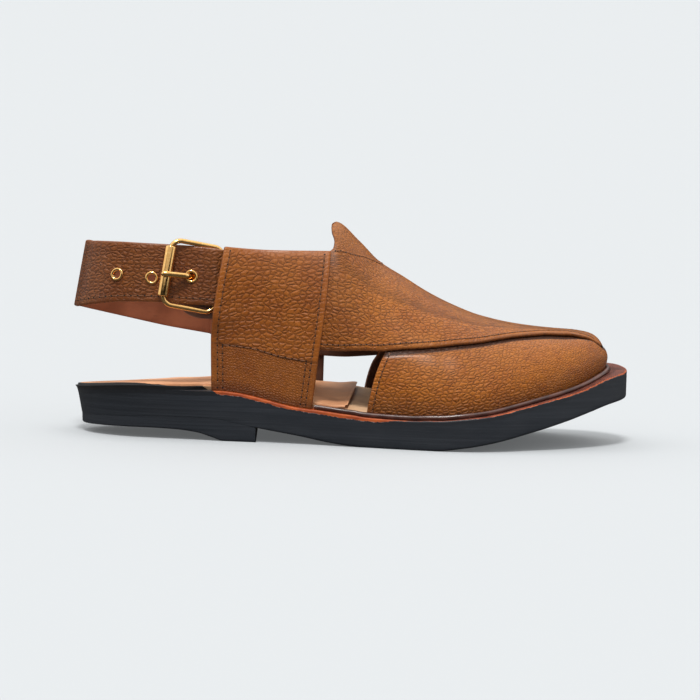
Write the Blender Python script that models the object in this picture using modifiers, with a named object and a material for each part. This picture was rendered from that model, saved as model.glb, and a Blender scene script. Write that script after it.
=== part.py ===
"""Right sandal of folk pattern: two layers of toe and instep leather, side bands and a buckled heel strap.

Metres, +Z up, +X to the toe, -Y the outer side. The origin is under the middle of the sole, on the floor.
"""

import math

import bmesh
import bpy
import numpy as np
from mathutils import Matrix, Vector

# Sole
LENGTH = 0.295
BALL_WIDTH = 0.106
SOLE_THICKNESS = 0.0155
MIDSOLE_THICKNESS = 0.0025
HEEL_RAISE = 0.0145
HEEL_REAR_RISE = 0.0056
TOE_SPRING = 0.025
HEEL_TAPER = 0.0030
SOLE_EDGE = 0.0012
INSOLE_THICKNESS = 0.0018
INSOLE_SETBACK = 0.0007
INSOLE_EASE = 0.0010
SOCK_THICKNESS = 0.0012
SOCK_END = 0.505
ARCH_RISE = 0.0055

# Upper
INSTEP_HEIGHT = 0.1155
LAST_RAKE = 0.0305
LAST_SIDE_INSET = 0.0045
LAST_TOE_INSET = 0.0112
VAMP_WALL = 0.0022
TOE_WALL = 0.0021
TOE_PUFF = 0.0022
BAND_WALL = 0.0028
LAYER_OVERLAP = 0.0012
BAND_TOP = 0.1008
INNER_BAND_TOP = 0.0975
BAND_LIFT = 0.0045
BAND_LIFT_REACH = 0.0295
RAND_RADIUS = 0.0011
RAND_EASE = 0.0006

# Heel strap and buckle
STRAP_WALL = 0.0020
STRAP_LEVEL = 0.104
STRAP_TUCK = 0.0120
STRAP_EASE = 0.0008
HEEL_LEAN = 0.005
EYELET_HOLE = 0.0022
EYELET_WALL = 0.0004
EYELET_FLANGE = 0.0036
EYELET_RIM = 0.0010
EYELET_SEAT = 0.0005
WIRE_RADIUS = 0.0012
FRAME_HEIGHT = 0.0372
FRAME_CORNER = 0.0055
ROLLER_RADIUS = 0.0030
BUCKLE_EASE = 0.0006
ROLLER_LENGTH = 0.027
PRONG_RADIUS = 0.0010
PRONG_OVERHANG = 0.0035
PAD_WALL = 0.0014
CLEARANCE = 0.0003

# Each table: shares of the length behind, then shares of the size named beside the column.
# Plan of the sole: the middle line and half the width, in ball widths.
SOLE_PLAN = {
    "along": (0, 0.10, 0.20, 0.30, 0.40, 0.50, 0.60, 0.68, 0.72, 0.76, 0.82, 0.893, 0.968, 1),
    "centre": (-0.028, -0.026, -0.017, -0.021, -0.036, -0.040, -0.030, -0.011, 0, 0.016, 0.038, 0.058, 0.073,
               0.0755),
    "half": (0.292, 0.309, 0.333, 0.332, 0.341, 0.379, 0.441, 0.487, 0.495, 0.484, 0.4425, 0.416, 0.398, 0.39),
}
HEEL_ROUND = 0.13
TOE_ROUND = 0.22

# Side view of the sole: its underside in heel raises and toe springs, and its thickness.
SOLE_PROFILE = {
    "along": (0, 0.076, 0.134, 0.195, 0.249, 0.29, 0.3305, 0.4085, 0.463, 0.5, 0.527, 0.605, 0.652, 0.703, 0.751,
              0.822, 0.893, 0.9305, 0.968, 1),
    "heel": (0.66, 0.76, 0.83, 0.85, 0.83, 0.70, 0.535, 0.29, 0.10, 0.02, 0, 0, 0, 0, 0, 0, 0, 0, 0, 0),
    "toe": (0, 0, 0, 0, 0, 0, 0, 0, 0, 0, 0, 0, 0, 0.072, 0.172, 0.384, 0.636, 0.79, 0.932, 1),
    "thick": (0.79, 0.78, 0.77, 0.79, 0.87, 1, 1.058, 1, 1.06, 1.07, 1.03, 1, 1.04, 1.01, 0.968, 0.948, 0.91, 0.87,
              0.871, 0.92),
}
FOREFOOT_FLAT = (0.527, 0.652)

# Underside of the heel lift, in heel rear rises: it stands on the flat behind the breast.
HEEL_UNDER = {
    "along": (0, 0.056, 0.137, 0.181, 0.222, 0.252, 0.270, 0.3245),
    "rise": (0.75, 0.91, 1, 0.95, 0.73, 0.285, 0, 0),
}

# How much the insole rises along its inner edge, in arch rises.
ARCH = {"along": (0.25, 0.35, 0.45, 0.53, 0.60, 0.72), "rise": (0, 0.5, 0.9, 1, 0.7, 0)}

# The last: how far its ridge lies behind the edge it starts from, the ridge's height in instep heights,
# its middle in ball widths, and the powers that round its side and its crown.
LAST = {
    "along": (0, 0.2457, 0.3668, 0.4843, 0.527, 0.566, 0.6125, 0.6588, 0.705, 0.7585, 0.826, 0.883, 0.9366, 0.972,
              1),
    "setback": (0, 0, 0, 0, 0, 0, 0, 0, 0, 0, 0.007, 0.020, 0.037, 0.0525, 0.061),
    "ridge": (1.02, 1.02, 1.02, 1.0, 0.915, 0.822, 0.754, 0.686, 0.632, 0.584, 0.551, 0.536, 0.527, 0.524, 0.5195),
    "middle": (-0.01, -0.01, 0, 0.01, 0.01, 0.01, 0.01, 0.01, 0.01, 0.015, 0.035, 0.052, 0.066, 0.073,
               0.0755),
    "side": (2, 2, 2, 2, 2, 2, 2, 2, 2, 2, 2.1, 2.3, 2.7, 3.0, 3.2),
    "crown": (6, 6, 4.6, 2.7, 2.4, 2.2, 2.0, 1.85, 1.75, 1.7, 1.8, 2.0, 2.3, 2.5, 2.6),
}

# Lower edge of the instep leather, as a share of the last's height at each place.
VAMP_EDGE = {
    "along": (0.40, 0.4843, 0.545, 0.641, 0.7336, 0.8476, 0.92, 0.96, 0.985, 1),
    "height": (0.312, 0.329, 0.4107, 0.558, 0.72, 0.885, 0.93, 0.92, 0.78, 0.42),
}

# Edges of the side band and of the toe piece: places along the shoe at shares of the band's height.
BAND_EDGES = {
    "height": (0, 0.35, 0.70, 1),
    "rear": (0.250, 0.2495, 0.260, 0.2735),
    "front": (0.4255, 0.4385, 0.4515, 0.4597),
}
TOE_PIECE_REAR = {"height": (0, 0.5, 1), "along": (0.5285, 0.5475, 0.575)}
THROAT = {"height": (0, 0.76, 0.85, 0.90, 1), "along": (0.4185, 0.4185, 0.4610, 0.4730, 0.4745)}
THROAT_MIDDLE = 0.45

# The heel strap on its way from the outer band, at -1, round the heel, at 0, to the inner band, at 1:
# its top and foot in shares of its highest level, and its outer face out from the last in walls of the strap.
STRAP = {
    "way": (-1, -0.75, -0.60, -0.45, -0.25, 0, 0.25, 0.55, 0.8, 0.9, 1),
    "top": (0.952, 0.975, 0.980, 0.982, 0.985, 0.98, 0.935, 0.875, 0.833, 0.815, 0.80),
    "foot": (0.690, 0.696, 0.697, 0.697, 0.690, 0.645, 0.590, 0.535, 0.50, 0.487, 0.478),
    "out": (1.3, 1.2, 0.75, 0.6, 0.6, 1.5, 0.6, 0.3, -0.2, -0.65, -0.65),
}

# The buckle on the strap, in shares of the whole length, and the share of the strap's width that the holes
# and the prong follow. The pad runs from below the strap's foot to under its top.
EYELET_PLACES = (0.0783, 0.1397, 0.2109)
ROLLER_PLACE = 0.1680
HINGE_PLACE = 0.2610
HOLE_LEVELS = (0.45, 0.40, 0.47)
FRAME_LEVELS = (0.527, 0.44)
PAD_SPAN = (0.1847, 0.2932)
PAD_LEVELS = (-0.295, 0.84)


def smooth(table, column, at, key="along"):
    """Reads a column between its rows with cubics that never overshoot, so that flats stay flat."""
    x, y = np.array(table[key], float), np.array(table[column], float)
    step, rise = np.diff(x), np.diff(y) / np.diff(x)
    slope = np.zeros(len(x))
    same = rise[:-1] * rise[1:] > 0
    weights = 2 * step[1:] + step[:-1], step[1:] + 2 * step[:-1]
    with np.errstate(divide="ignore", invalid="ignore"):
        mean = sum(weights) / (weights[0] / rise[:-1] + weights[1] / rise[1:])
    slope[1:-1] = np.where(same, mean, 0)
    slope[0], slope[-1] = rise[0], rise[-1]
    at = np.clip(np.asarray(at, float), x[0], x[-1])
    k = np.clip(np.searchsorted(x, at, "right") - 1, 0, len(x) - 2)
    u = (at - x[k]) / step[k]
    bend = (slope[k] * (1 - u) ** 2 * u - slope[k + 1] * u**2 * (1 - u)) * step[k]
    return y[k] * (1 + 2 * u) * (1 - u) ** 2 + y[k + 1] * (3 - 2 * u) * u**2 + bend


def ease(low, high, at):
    """Rises from 0 at low to 1 at high with level ends."""
    u = np.clip((np.asarray(at, float) - low) / (high - low), 0, 1)
    return u * u * (3 - 2 * u)


def half_width(along):
    """Half the sole's width: the table's, rounded off as quarter ellipses at the heel and the toe."""
    heel = np.clip(1 - along / HEEL_ROUND, 0, 1)
    toe = np.clip(1 - (1 - along) / TOE_ROUND, 0, 1)
    return np.sqrt(1 - heel**2) * np.sqrt(1 - toe**2)


def plan(along, side_inset=0.0, heel_inset=None, toe_inset=None):
    """(x, y of the outer side, y of the inner side) of the sole's edge, drawn in by the insets."""
    heel_inset = side_inset if heel_inset is None else heel_inset
    toe_inset = side_inset if toe_inset is None else toe_inset
    x = -LENGTH / 2 + heel_inset + along * (LENGTH - heel_inset - toe_inset)
    half = (BALL_WIDTH * smooth(SOLE_PLAN, "half", along) - side_inset) * half_width(along)
    middle = BALL_WIDTH * smooth(SOLE_PLAN, "centre", along)
    return x, middle - half, middle + half


def place(x):
    """Share of the length at which a point lies."""
    return (x + LENGTH / 2) / LENGTH


def sole_bottom(x):
    s = place(x)
    return HEEL_RAISE * smooth(SOLE_PROFILE, "heel", s) + TOE_SPRING * smooth(SOLE_PROFILE, "toe", s)


def sole_top(x):
    return sole_bottom(x) + SOLE_THICKNESS * smooth(SOLE_PROFILE, "thick", place(x))


def heel_under(x):
    return HEEL_REAR_RISE * smooth(HEEL_UNDER, "rise", place(x))


def rounded_steps(first, last, count, extra=()):
    """Places from first to last, close together where an end of the sole is round, with the extra ones."""
    start = math.pi * (0 if first == 0 else 0.5)
    stop = math.pi * (1 if last == 1 else 0.5)
    turn = np.cos(np.linspace(start, stop, count))
    steps = first + (last - first) * (turn[0] - turn) / (turn[0] - turn[-1])
    for value in extra:
        steps[np.abs(steps - value).argmin()] = value
    return steps


def material(name, colour, roughness, metallic=0.0):
    made = bpy.data.materials.new(name)
    made.use_nodes = True
    shader = made.node_tree.nodes["Principled BSDF"]
    shader.inputs["Base Color"].default_value = (*colour, 1)
    shader.inputs["Roughness"].default_value = roughness
    shader.inputs["Metallic"].default_value = metallic
    made.diffuse_color = (*colour, 1)
    return made


def mesh_object(name, points, faces, finish, collection, closed):
    """Makes an object of a mesh whose coinciding points are merged, smooth except at sharp edges."""
    mesh = bpy.data.meshes.new(name)
    mesh.from_pydata(np.reshape(points, (-1, 3)).tolist(), [], np.asarray(faces).tolist())
    work = bmesh.new()
    work.from_mesh(mesh)
    bmesh.ops.remove_doubles(work, verts=work.verts, dist=1e-6)
    if closed:
        bmesh.ops.recalc_face_normals(work, faces=work.faces)
    work.to_mesh(mesh)
    work.free()
    mesh.shade_smooth()
    mesh.set_sharp_from_angle(angle=math.radians(40))
    mesh.materials.append(finish)
    made = bpy.data.objects.new(name, mesh)
    collection.objects.link(made)
    return made


def grid_faces(rows, columns):
    corner = np.arange(rows - 1)[:, None] * columns + np.arange(columns - 1)
    return np.stack([corner, corner + columns, corner + columns + 1, corner + 1], -1).reshape(-1, 4)


def layered(name, rings, finish, collection):
    """A solid from closed rings, lowest first. A ring runs heel to toe on the outer side, then back."""
    count, length = len(rings), len(rings[0])
    wrapped = np.arange(length)
    after = (wrapped + 1) % length
    wall = np.stack([wrapped, after, length + after, length + wrapped], -1)
    walls = [wall + k * length for k in range(count - 1)]
    outer = np.arange(length // 2 - 1)
    strip = np.stack([outer, outer + 1, length - 2 - outer, length - 1 - outer], -1)
    faces = np.concatenate([*walls, strip, strip + (count - 1) * length])
    return mesh_object(name, np.array(rings), faces, finish, collection, closed=True)


def ring(along, height, inner_rise=0.0, **insets):
    """One closed ring at the heights that a function of x gives, with its inner side raised."""
    x, outer, inner = plan(along, **insets)
    z = height(x)
    return np.concatenate([np.stack([x, outer, z], -1), np.stack([x, inner, z + inner_rise], -1)[::-1]])


def last_plan(along):
    return plan(along, side_inset=LAST_SIDE_INSET, toe_inset=LAST_TOE_INSET)


def last_point(along, turn):
    """The last's surface, which is the outer face of the instep leather.

    turn runs from 0 at the outer side's edge over the ridge at a quarter turn to the inner side's edge at
    a half turn. Between the edge and the ridge, width goes as a power of the cosine and height as a power
    of the sine, and the whole section leans back by the rake.
    """
    x, outer, inner = last_plan(along)
    edge_y = np.where(turn < math.pi / 2, outer, inner)
    ridge_x = x - LENGTH * smooth(LAST, "setback", along)
    ridge_y = BALL_WIDTH * smooth(LAST, "middle", along)
    low = sole_top(x) + CLEARANCE
    high = INSTEP_HEIGHT * smooth(LAST, "ridge", along)
    across = np.abs(np.cos(turn)) ** (2 / smooth(LAST, "side", along))
    up = np.sin(turn).clip(0, 1) ** (2 / smooth(LAST, "crown", along))
    lean = LAST_RAKE * (high - low) * up
    near_x = ridge_x + (x - ridge_x) * across - lean
    near_y = ridge_y + (edge_y - ridge_y) * across
    return np.stack([near_x, near_y, low + (high - low) * up], -1)


def turn_at(along, share):
    """The turn at which the last's surface reaches a share of its height."""
    return np.arcsin(np.clip(share, 0, 1) ** (smooth(LAST, "crown", along) / 2))


def share_at(along, z):
    """The share of the last's height at which a height lies."""
    low = sole_top(last_plan(along)[0]) + CLEARANCE
    return (z - low) / (INSTEP_HEIGHT * smooth(LAST, "ridge", along) - low)


def last_share(along):
    """Turns a share of the whole length into a share of the last's own length."""
    return (along * LENGTH - LAST_SIDE_INSET) / (LENGTH - LAST_SIDE_INSET - LAST_TOE_INSET)


def side_point(along, z, side):
    """A point of the last's side, at a share of the whole length and a height."""
    s = last_share(along)
    turn = turn_at(s, share_at(s, z))
    return last_point(s, np.where(side < 0, turn, math.pi - turn))


def normals(points):
    """Directions out of a grid's surface, away from the foot."""
    out = np.cross(np.gradient(points, axis=0), np.gradient(points, axis=1))
    out /= np.linalg.norm(out, axis=-1, keepdims=True).clip(1e-12)
    middle = np.zeros_like(points)
    middle[..., 0] = points[..., 0].clip(-0.10, 0.10)
    middle[..., 2] = 0.045
    return out * np.sign((out * (points - middle)).sum())


def sheet(name, points, offset, wall, finish, collection):
    """Leather: a grid moved out by offset, with its wall thickened inwards from that outer face."""
    out = normals(points)
    faces = grid_faces(*points.shape[:2])
    first = np.cross(points[1, 0] - points[0, 0], points[0, 1] - points[0, 0])
    if (first * out[0, 0]).sum() < 0:
        faces = faces[:, ::-1]
    outer = points + out * np.broadcast_to(offset, points.shape[:2])[..., None]
    made = mesh_object(name, outer, faces, finish, collection, closed=False)
    solid = made.modifiers.new("wall", "SOLIDIFY")
    solid.thickness = wall
    solid.offset = -1
    solid.use_even_offset = True
    return made


def band_lift(x, z):
    """How far the outer band's rear edge is lifted by the strap and the hinge that lie under it."""
    rear = -LENGTH / 2 + LENGTH * BAND_EDGES["rear"][0]
    reach = np.clip(1 - (x - rear) / BAND_LIFT_REACH, 0, 1)
    return BAND_LIFT * reach**2 * ease(0.052, 0.068, z)


def build_sole(parts):
    rubber = material("sole rubber", (0.030, 0.034, 0.042), 0.55)
    welt = material("welt leather", (0.52, 0.13, 0.045), 0.5)
    dark = material("insole leather", (0.16, 0.075, 0.045), 0.6)
    tan = material("sock leather", (0.50, 0.25, 0.13), 0.55)

    def outsole_top(x):
        return sole_top(x) - MIDSOLE_THICKNESS - CLEARANCE

    def taper(along):
        return HEEL_TAPER * (1 - ease(0.10, 0.34, along))

    along = rounded_steps(0, 1, 34, FOREFOOT_FLAT)
    drawn_in = SOLE_EDGE + taper(along)
    rings = [
        ring(along, sole_bottom, side_inset=drawn_in, heel_inset=SOLE_EDGE + HEEL_TAPER, toe_inset=SOLE_EDGE),
        ring(
            along,
            lambda x: sole_bottom(x) + SOLE_EDGE,
            side_inset=taper(along),
            heel_inset=HEEL_TAPER,
            toe_inset=0,
        ),
        ring(along, outsole_top),
    ]
    layered("outsole", rings, rubber, parts)

    breast = HEEL_UNDER["along"][-1]
    flat_start = HEEL_UNDER["along"][-2]
    heel = rounded_steps(0, breast, 16, (flat_start,))
    narrow = HEEL_TAPER + SOLE_EDGE
    lift_top = ring(heel, lambda x: sole_bottom(x) - CLEARANCE, side_inset=narrow)
    lift_low = ring(heel, heel_under, side_inset=narrow + SOLE_EDGE)
    layered("heel_lift", [lift_low, lift_top], rubber, parts)

    welt_rings = [
        ring(along, lambda x: sole_top(x) - MIDSOLE_THICKNESS, side_inset=CLEARANCE),
        ring(along, sole_top, side_inset=2 * CLEARANCE),
    ]
    layered("midsole", welt_rings, welt, parts)

    inside = LAST_SIDE_INSET + VAMP_WALL + TOE_WALL + INSOLE_EASE
    inner_toe = LAST_TOE_INSET + VAMP_WALL + TOE_WALL + INSOLE_EASE

    def insole_inset(along):
        return INSOLE_SETBACK + (inside - INSOLE_SETBACK) * ease(0.17, BAND_EDGES["rear"][0] - 0.01, along)

    def insole_base(x):
        return sole_top(x) + CLEARANCE

    def arch(along):
        return ARCH_RISE * smooth(ARCH, "rise", along)

    insets = {"side_inset": insole_inset(along), "heel_inset": INSOLE_SETBACK, "toe_inset": inner_toe}
    insole_rings = [
        ring(along, insole_base, **insets),
        ring(along, lambda x: insole_base(x) + INSOLE_THICKNESS, inner_rise=arch(along), **insets),
    ]
    layered("insole", insole_rings, dark, parts)

    def sock_base(x):
        return insole_base(x) + INSOLE_THICKNESS + CLEARANCE

    sock = rounded_steps(0, SOCK_END, 20)
    insets = {
        "side_inset": insole_inset(sock) + CLEARANCE,
        "heel_inset": INSOLE_SETBACK + CLEARANCE,
        "toe_inset": inner_toe,
    }
    sock_rings = [
        ring(sock, sock_base, inner_rise=arch(sock), **insets),
        ring(sock, lambda x: sock_base(x) + SOCK_THICKNESS, inner_rise=arch(sock), **insets),
    ]
    layered("heel_sock", sock_rings, tan, parts)


def build_upper(parts, cutters):
    tan = material("grained leather", (0.42, 0.17, 0.045), 0.42)

    def edge_turn(along):
        return turn_at(along, smooth(VAMP_EDGE, "height", along))

    lift = np.linspace(0, 1, 12)
    mirror = np.concatenate([lift, 2 - lift[-2::-1]])[None, :]
    rise = 1 - np.abs(1 - mirror)
    share = np.sin(np.linspace(0, math.pi / 2, 30))[:, None]
    low = edge_turn(THROAT_MIDDLE)
    throat_height = np.sin(low + (math.pi / 2 - low) * rise) ** (2 / smooth(LAST, "crown", THROAT_MIDDLE))
    rear = last_share(smooth(THROAT, "along", throat_height, key="height"))
    along = rear + (1 - rear) * share
    first = edge_turn(along)
    turn = first + (math.pi / 2 - first) * rise
    turn = np.where(mirror <= 1, turn, math.pi - turn)
    vamp = sheet("upper", last_point(along, turn), 0, VAMP_WALL, tan, parts)

    half = np.sin(np.linspace(0, math.pi / 2, 24))
    round_toe = np.concatenate([half, 2 - half[-2::-1]])[:, None]
    up = np.linspace(0, 1, 10)[None, :]
    rear = last_share(smooth(TOE_PIECE_REAR, "along", up, key="height"))
    along = rear + (1 - rear) * (1 - np.abs(1 - round_toe))
    top = np.minimum(smooth(VAMP_EDGE, "height", along) + 0.10, 0.97)
    turn = turn_at(along, top) * up
    turn = np.where(round_toe <= 1, turn, math.pi - turn)
    puff = TOE_PUFF * np.sin(math.pi * np.clip(up / 0.86, 0, 1)) ** 0.8
    toe = sheet("toe_piece", last_point(along, turn), puff - VAMP_WALL + LAYER_OVERLAP, TOE_WALL, tan, cutters)

    bands = []
    for name, side, top in (("outer_band", -1, BAND_TOP), ("inner_band", 1, INNER_BAND_TOP)):
        up = np.linspace(0, 1, 13)[:, None]
        across = np.linspace(0, 1, 8)[None, :]
        rear = smooth(BAND_EDGES, "rear", up, key="height")
        front = smooth(BAND_EDGES, "front", up, key="height")
        along = rear + (front - rear) * across
        low = sole_top(-LENGTH / 2 + along * LENGTH) + CLEARANCE
        z = low + (top - low) * up
        points = side_point(along, z, side)
        lifted = band_lift(points[..., 0], z) if side < 0 else 0
        bands.append(sheet(name, points, BAND_WALL - LAYER_OVERLAP + lifted, BAND_WALL, tan, cutters))

    for other in (toe, *bands):
        other.hide_render = True
        other.display_type = "WIRE"
        joined = vamp.modifiers.new("join " + other.name, "BOOLEAN")
        joined.operation = "UNION"
        joined.solver = "EXACT"
        joined.object = other


def strap_grid(way, level):
    """The heel strap's own flat-sided surface: straight across its width between two points of the last."""
    end = last_share(BAND_EDGES["rear"][-2] + STRAP_TUCK / LENGTH)
    along = np.abs(way) * end
    foot = STRAP_LEVEL * smooth(STRAP, "foot", way, key="way")
    top = STRAP_LEVEL * smooth(STRAP, "top", way, key="way")

    def edge(z):
        turn = turn_at(along, share_at(along, z))
        return last_point(along, np.where(way < 0, turn, math.pi - turn))

    low, high = edge(foot), edge(top)
    high[..., 0] += HEEL_LEAN * np.clip(1 - along / HEEL_ROUND, 0, 1)
    return low + (high - low) * np.asarray(level, float)[..., None]


def strap_out(way, x, z):
    """How far out the strap's outer face lies: its table, but under a band it stays clear of the band."""
    lift = np.where(way < 0, band_lift(x, z), 0)
    under = lift - LAYER_OVERLAP - STRAP_EASE
    covered = np.where(way < 0, True, x > -LENGTH / 2 + LENGTH * (BAND_EDGES["rear"][0] - 0.01))
    table = STRAP_WALL * smooth(STRAP, "out", way, key="way")
    return np.where(covered, np.minimum(table, under), table)


def way_at(share_of_length):
    """The outer side's place on the strap's way at a share of the whole length."""
    end = last_share(BAND_EDGES["rear"][-2] + STRAP_TUCK / LENGTH)
    return -last_share(share_of_length) / end


def strap_frame(share_of_length, level):
    """A point of the strap's outer side, with the directions back along it, up it and out of it."""
    step = 1e-3
    way = way_at(share_of_length)
    ways = np.array([[way - step, way - step], [way, way], [way + step, way + step]])
    levels = np.array([[level, level + step]] * 3)
    grid = strap_grid(ways, levels)
    back = grid[2, 0] - grid[0, 0]
    up = grid[1, 1] - grid[1, 0]
    back, up = back / np.linalg.norm(back), up / np.linalg.norm(up)
    out = np.cross(up, back)
    out *= -np.sign(out[1]) / np.linalg.norm(out)
    return grid[1, 0], back, up, out


def outer_face(share_of_length, level):
    """How far out the strap's outer face lies at a place on the outer side."""
    point = strap_frame(share_of_length, level)[0]
    return float(strap_out(way_at(share_of_length), point[0], point[2]))


def take_primitive(name, collection):
    """Names the primitive just added and moves it to its collection."""
    made = bpy.context.object
    made.name = name
    for old in list(made.users_collection):
        old.objects.unlink(made)
    collection.objects.link(made)
    return made


def turned_ring(name, profile, steps, finish, collection):
    """A ring turned about its own Z from a closed profile of (radius, height) points."""
    mesh = bpy.data.meshes.new(name)
    count = len(profile)
    mesh.from_pydata([(r, 0, z) for r, z in profile], [(k, (k + 1) % count) for k in range(count)], [])
    mesh.materials.append(finish)
    made = bpy.data.objects.new(name, mesh)
    collection.objects.link(made)
    screw = made.modifiers.new("turn", "SCREW")
    screw.steps = screw.render_steps = steps
    screw.use_merge_vertices = True
    screw.merge_threshold = 1e-6
    screw.use_smooth_shade = True
    return made


def wire(name, points, radius, cyclic, finish, collection, sides=2):
    """A round wire through the points."""
    curve = bpy.data.curves.new(name, "CURVE")
    curve.dimensions = "3D"
    spline = curve.splines.new("POLY")
    spline.points.add(len(points) - 1)
    spline.points.foreach_set("co", np.column_stack([points, np.ones(len(points))]).ravel())
    spline.use_cyclic_u = cyclic
    curve.bevel_depth = radius
    curve.bevel_resolution = sides
    curve.use_fill_caps = not cyclic
    curve.materials.append(finish)
    made = bpy.data.objects.new(name, curve)
    collection.objects.link(made)
    return made


def set_upright(made, origin, along, up, out):
    """Places an object with its X, Y and Z along three directions."""
    turn = Matrix((Vector(along), Vector(up), Vector(out))).transposed()
    made.matrix_world = Matrix.Translation(Vector(origin)) @ turn.to_4x4()


def build_rand(parts):
    glossy = material("glossy brown bead", (0.10, 0.035, 0.022), 0.2)
    half = np.sin(np.linspace(0, math.pi / 2, 22))
    round_toe = np.concatenate([half, 2 - half[-2::-1]])
    start = last_share(BAND_EDGES["front"][0]) + 2 * RAND_RADIUS / LENGTH
    along = start + (1 - start) * (1 - np.abs(1 - round_toe))
    x, outer, inner = last_plan(along)
    foot = np.stack([x, np.where(round_toe <= 1, outer, inner)], -1)
    run = np.gradient(foot, axis=0)
    out = np.stack([run[:, 1], -run[:, 0]], -1) / np.linalg.norm(run, axis=1)[:, None]
    away = -VAMP_WALL + LAYER_OVERLAP + RAND_EASE + RAND_RADIUS
    centre = foot + out * away
    height = sole_top(x) + CLEARANCE + RAND_RADIUS
    wire("rand", np.column_stack([centre, height]), RAND_RADIUS, False, glossy, parts, sides=1)


def build_strap(parts, cutters):
    tan = material("strap leather", (0.40, 0.16, 0.045), 0.45)
    dark = material("pad leather", (0.09, 0.04, 0.025), 0.5)

    half = 1 - np.cos(np.linspace(0, math.pi / 2, 22))
    way = np.concatenate([-half[::-1], half[1:]])[:, None] * np.ones((1, 5))
    level = np.linspace(0, 1, 5)[None, :] * np.ones_like(way)
    points = strap_grid(way, level)
    offset = strap_out(way, points[..., 0], points[..., 2])
    strap = sheet("heel_strap", points, offset, STRAP_WALL, tan, parts)

    barrel = EYELET_HOLE + EYELET_WALL
    gold = material("gold metal", (0.80, 0.56, 0.25), 0.22, 1.0)
    for number, (share, hole_level) in enumerate(zip(EYELET_PLACES, HOLE_LEVELS), 1):
        point, back, up, out = strap_frame(share, hole_level)
        seat = point + out * outer_face(share, hole_level)
        bpy.ops.mesh.primitive_cylinder_add(vertices=20, radius=barrel + CLEARANCE, depth=6 * STRAP_WALL)
        cutter = take_primitive(f"hole_{number}", cutters)
        cutter.hide_render = True
        cutter.display_type = "WIRE"
        set_upright(cutter, seat, back, up, out)
        cut = strap.modifiers.new(cutter.name, "BOOLEAN")
        cut.operation = "DIFFERENCE"
        cut.solver = "EXACT"
        cut.object = cutter
        profile = [
            (EYELET_FLANGE, EYELET_RIM),
            (EYELET_FLANGE, EYELET_SEAT),
            (barrel, EYELET_SEAT),
            (barrel, -STRAP_WALL),
            (EYELET_HOLE, -STRAP_WALL),
            (EYELET_HOLE, EYELET_RIM),
        ]
        eyelet = turned_ring(f"eyelet_{number}", profile, 20, gold, parts)
        set_upright(eyelet, seat, back, up, out)

    steps = np.linspace(*PAD_SPAN, 6)
    way = way_at(steps)[:, None] * np.ones((1, 5))
    level = np.linspace(*PAD_LEVELS, 5)[None, :] * np.ones_like(way)
    inside = hinge_out() - WIRE_RADIUS - BUCKLE_EASE
    sheet("buckle_pad", strap_grid(way, level), inside, PAD_WALL, dark, parts)
    return gold


def hinge_out():
    """How far out the hinge bar's middle lies, just inside the strap."""
    return outer_face(HINGE_PLACE, FRAME_LEVELS[1]) - STRAP_WALL - CLEARANCE - WIRE_RADIUS


def build_buckle(parts, gold):
    roller_point, _, _, roller_normal = strap_frame(ROLLER_PLACE, FRAME_LEVELS[0])
    hinge_point, _, up, hinge_normal = strap_frame(HINGE_PLACE, FRAME_LEVELS[1])
    roller_out = outer_face(ROLLER_PLACE, FRAME_LEVELS[0]) + BUCKLE_EASE + ROLLER_RADIUS
    roller = roller_point + roller_normal * roller_out
    hinge = hinge_point + hinge_normal * hinge_out()
    reach = hinge - roller
    length = np.linalg.norm(reach)
    forward = reach / length
    up = up - forward * up.dot(forward)
    up /= np.linalg.norm(up)
    out = np.cross(forward, up)

    tall = FRAME_HEIGHT / 2 - WIRE_RADIUS
    corners = []
    for quarter, (fx, fy) in enumerate(((1, 1), (0, 1), (0, -1), (1, -1))):
        bend = math.pi / 2 * quarter + np.linspace(0, math.pi / 2, 5)
        centre_x = length * fx + FRAME_CORNER * (1 if fx == 0 else -1)
        centre_y = fy * (tall - FRAME_CORNER)
        across = centre_x + FRAME_CORNER * np.cos(bend)
        along = centre_y + FRAME_CORNER * np.sin(bend)
        corners.append(roller + np.outer(across, forward) + np.outer(along, up))
    wire("buckle_frame", np.concatenate(corners), WIRE_RADIUS, True, gold, parts)

    bpy.ops.mesh.primitive_cylinder_add(
        vertices=20, radius=ROLLER_RADIUS, depth=ROLLER_LENGTH, end_fill_type="NOTHING"
    )
    tube = take_primitive("buckle_roller", parts)
    tube.data.materials.append(gold)
    tube.data.shade_smooth()
    wall = tube.modifiers.new("wall", "SOLIDIFY")
    wall.thickness = ROLLER_RADIUS - WIRE_RADIUS - CLEARANCE
    wall.offset = -1
    set_upright(tube, roller, out, forward, up)

    level = HOLE_LEVELS[-1]
    under = outer_face(EYELET_PLACES[-1], level) - STRAP_WALL - CLEARANCE - PRONG_RADIUS
    over = outer_face(EYELET_PLACES[-1], level) + EYELET_RIM
    crest = roller_out + ROLLER_RADIUS + CLEARANCE + PRONG_RADIUS
    hole = EYELET_PLACES[-1]
    lean = PRONG_RADIUS / LENGTH
    stations = (
        (HINGE_PLACE - 2.8 * lean, under),
        (hole + 2.4 * lean, under),
        (hole + 0.8 * lean, under + 1.1 * PRONG_RADIUS),
        (hole - 0.1 * lean, over - 1.2 * PRONG_RADIUS),
        (hole - 1.2 * lean, over + 0.9 * PRONG_RADIUS),
        (hole - 4.5 * lean, over + 2.6 * PRONG_RADIUS),
        (ROLLER_PLACE, crest),
        (ROLLER_PLACE - PRONG_OVERHANG / LENGTH, crest - 0.5 * PRONG_RADIUS),
    )
    path = []
    for share, away in stations:
        point, _, _, normal = strap_frame(share, level)
        path.append(point + normal * away)
    wire("buckle_prong", np.array(path), PRONG_RADIUS, False, gold, parts)


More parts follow.
